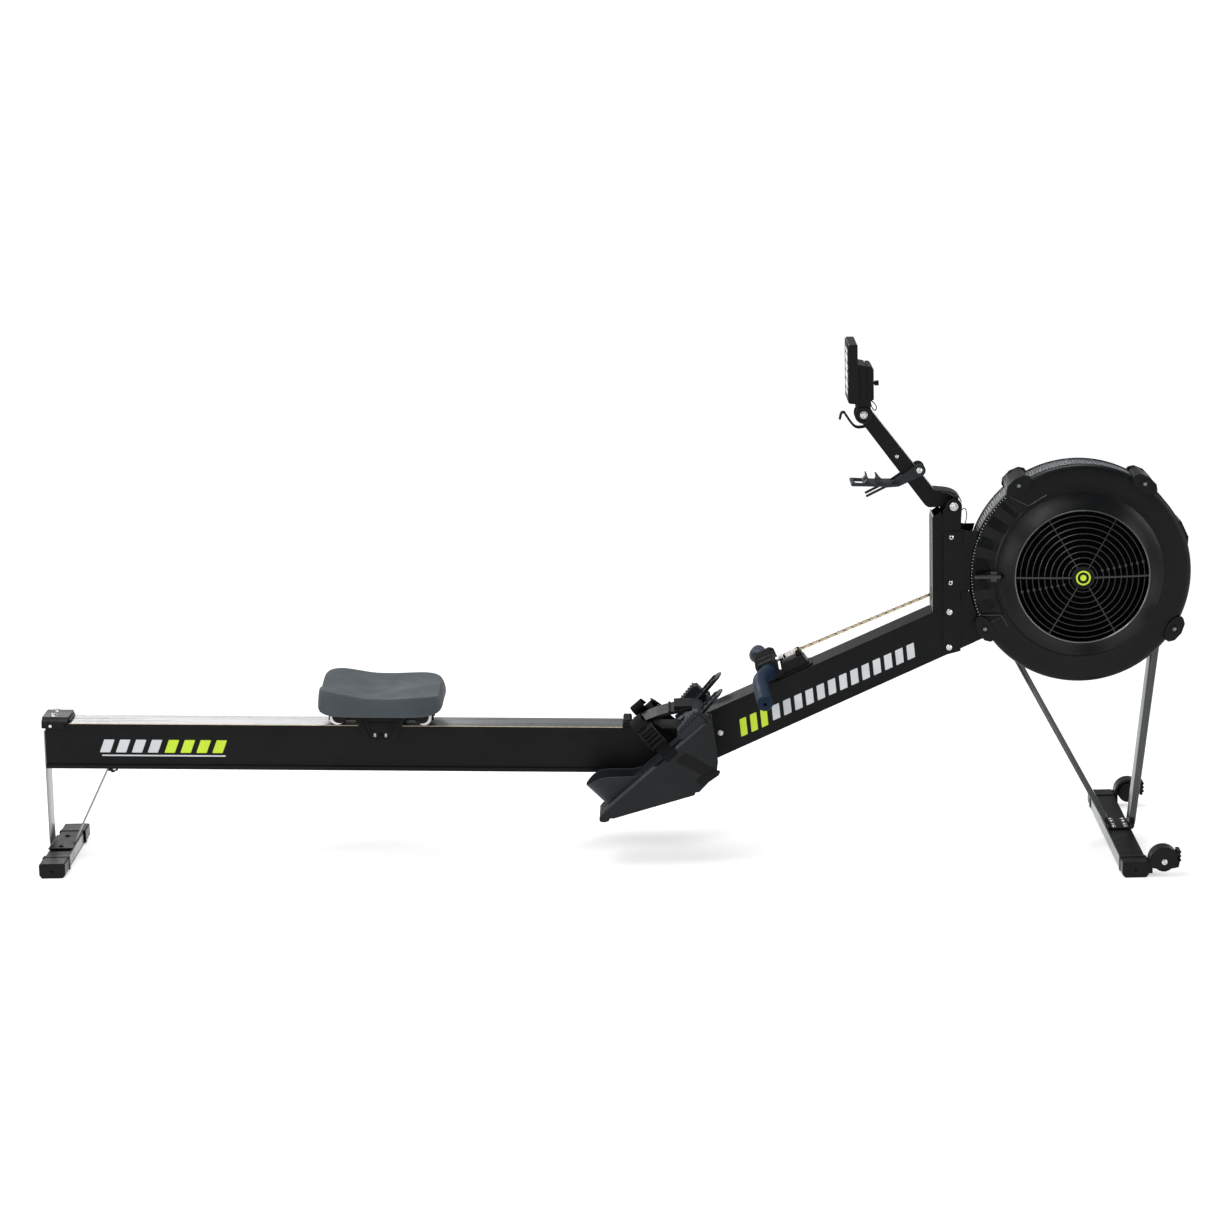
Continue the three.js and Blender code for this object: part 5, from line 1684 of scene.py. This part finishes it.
# %% Front foot caps and casters
WHEEL_X, WHEEL_Z, GUARD_R = 1132, 32, 31
for side_name, side in NEAR_FAR:
    foot_cap(f"front_cap_foot_{side_name}", (1045.5, 1100.5), span(side, 251, 302), 33,
             [f"front_foot_cap_{side_name}"], side)
    face = span(side, 298.8, 302)
    disc = extruded(arc(WHEEL_X, WHEEL_Z, GUARD_R, -22, 202, 40) + [(WHEEL_X - 18, WHEEL_Z - 14),
                    (WHEEL_X + 18, WHEEL_Z - 14)], *face)
    ridge = extruded(arc(WHEEL_X, WHEEL_Z, GUARD_R - 3, -16, 196, 36)
                     + arc(WHEEL_X, WHEEL_Z, GUARD_R - 5, 196, -16, 36), *span(side, 301.6, 302.6))
    hood = extruded(arc(WHEEL_X, WHEEL_Z, GUARD_R, -10, 200, 36)
                    + arc(WHEEL_X, WHEEL_Z, 26, 200, -10, 36), *span(side, 266, 300))
    web = block((1100, 1108), span(side, 266, 300), (8, 33))
    teeth = [extruded(rounded([(WHEEL_X + 28, z), (WHEEL_X + 34, z), (WHEEL_X + 34, z + 4.5),
                               (WHEEL_X + 28, z + 4.5)], 1), *span(side, 268, 302)) for z in (33, 41.5, 50)]
    tooth_back = block((WHEEL_X + 26, WHEEL_X + 31.5), span(side, 268, 302), (32, 55))
    piece(f"caster_guard_{side_name}", join(disc, ridge, hood, web, tooth_back, *teeth), black_plastic,
          bevel=0.9)
    bolts(f"caster_bolt_{side_name}", [(WHEEL_X, side * 301.8, WHEEL_Z)], (0, side, 0), radius=4.4,
          height=3.4,
          kind="round", washer=1.35)
    low, high = span(side, 270, 298)
    tyre = [(0, low + 2), (9, low + 2), (11, low), (19, low), (21.6, low + 1.4), (22.5, low + 4),
            (22.5, high - 4), (21.6, high - 1.4), (19, high), (11, high), (9, high - 2), (0, high - 2)]
    piece(f"caster_tyre_{side_name}", turned(tyre, (WHEEL_X, 0, WHEEL_Z), 48), dull_rubber,
          f"caster_{side_name}", replaces=[f"caster_wheel_{side_name}"])
print("casters ready")
brace_lug = join(block((-1086, -1066), (-12, 12), (193, 197.5)),
                 block((-1080, -1072), (-12, 12), (190, 193.5)))
piece("brace_lug", brace_lug, black_paint, bevel=0.8)
piece("front_foot_side_strip", block((1046.3, 1047.1), (-249, 249), (4, 30)), grey_steel, bevel=0.2)
# %% [markdown]
# The dressed machine has to stay as large as the frame says. Its box is printed here.

# %% Print the dressed machine's box
low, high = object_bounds()
print("visual box", [round(v, 3) for v in (*low, *high)])
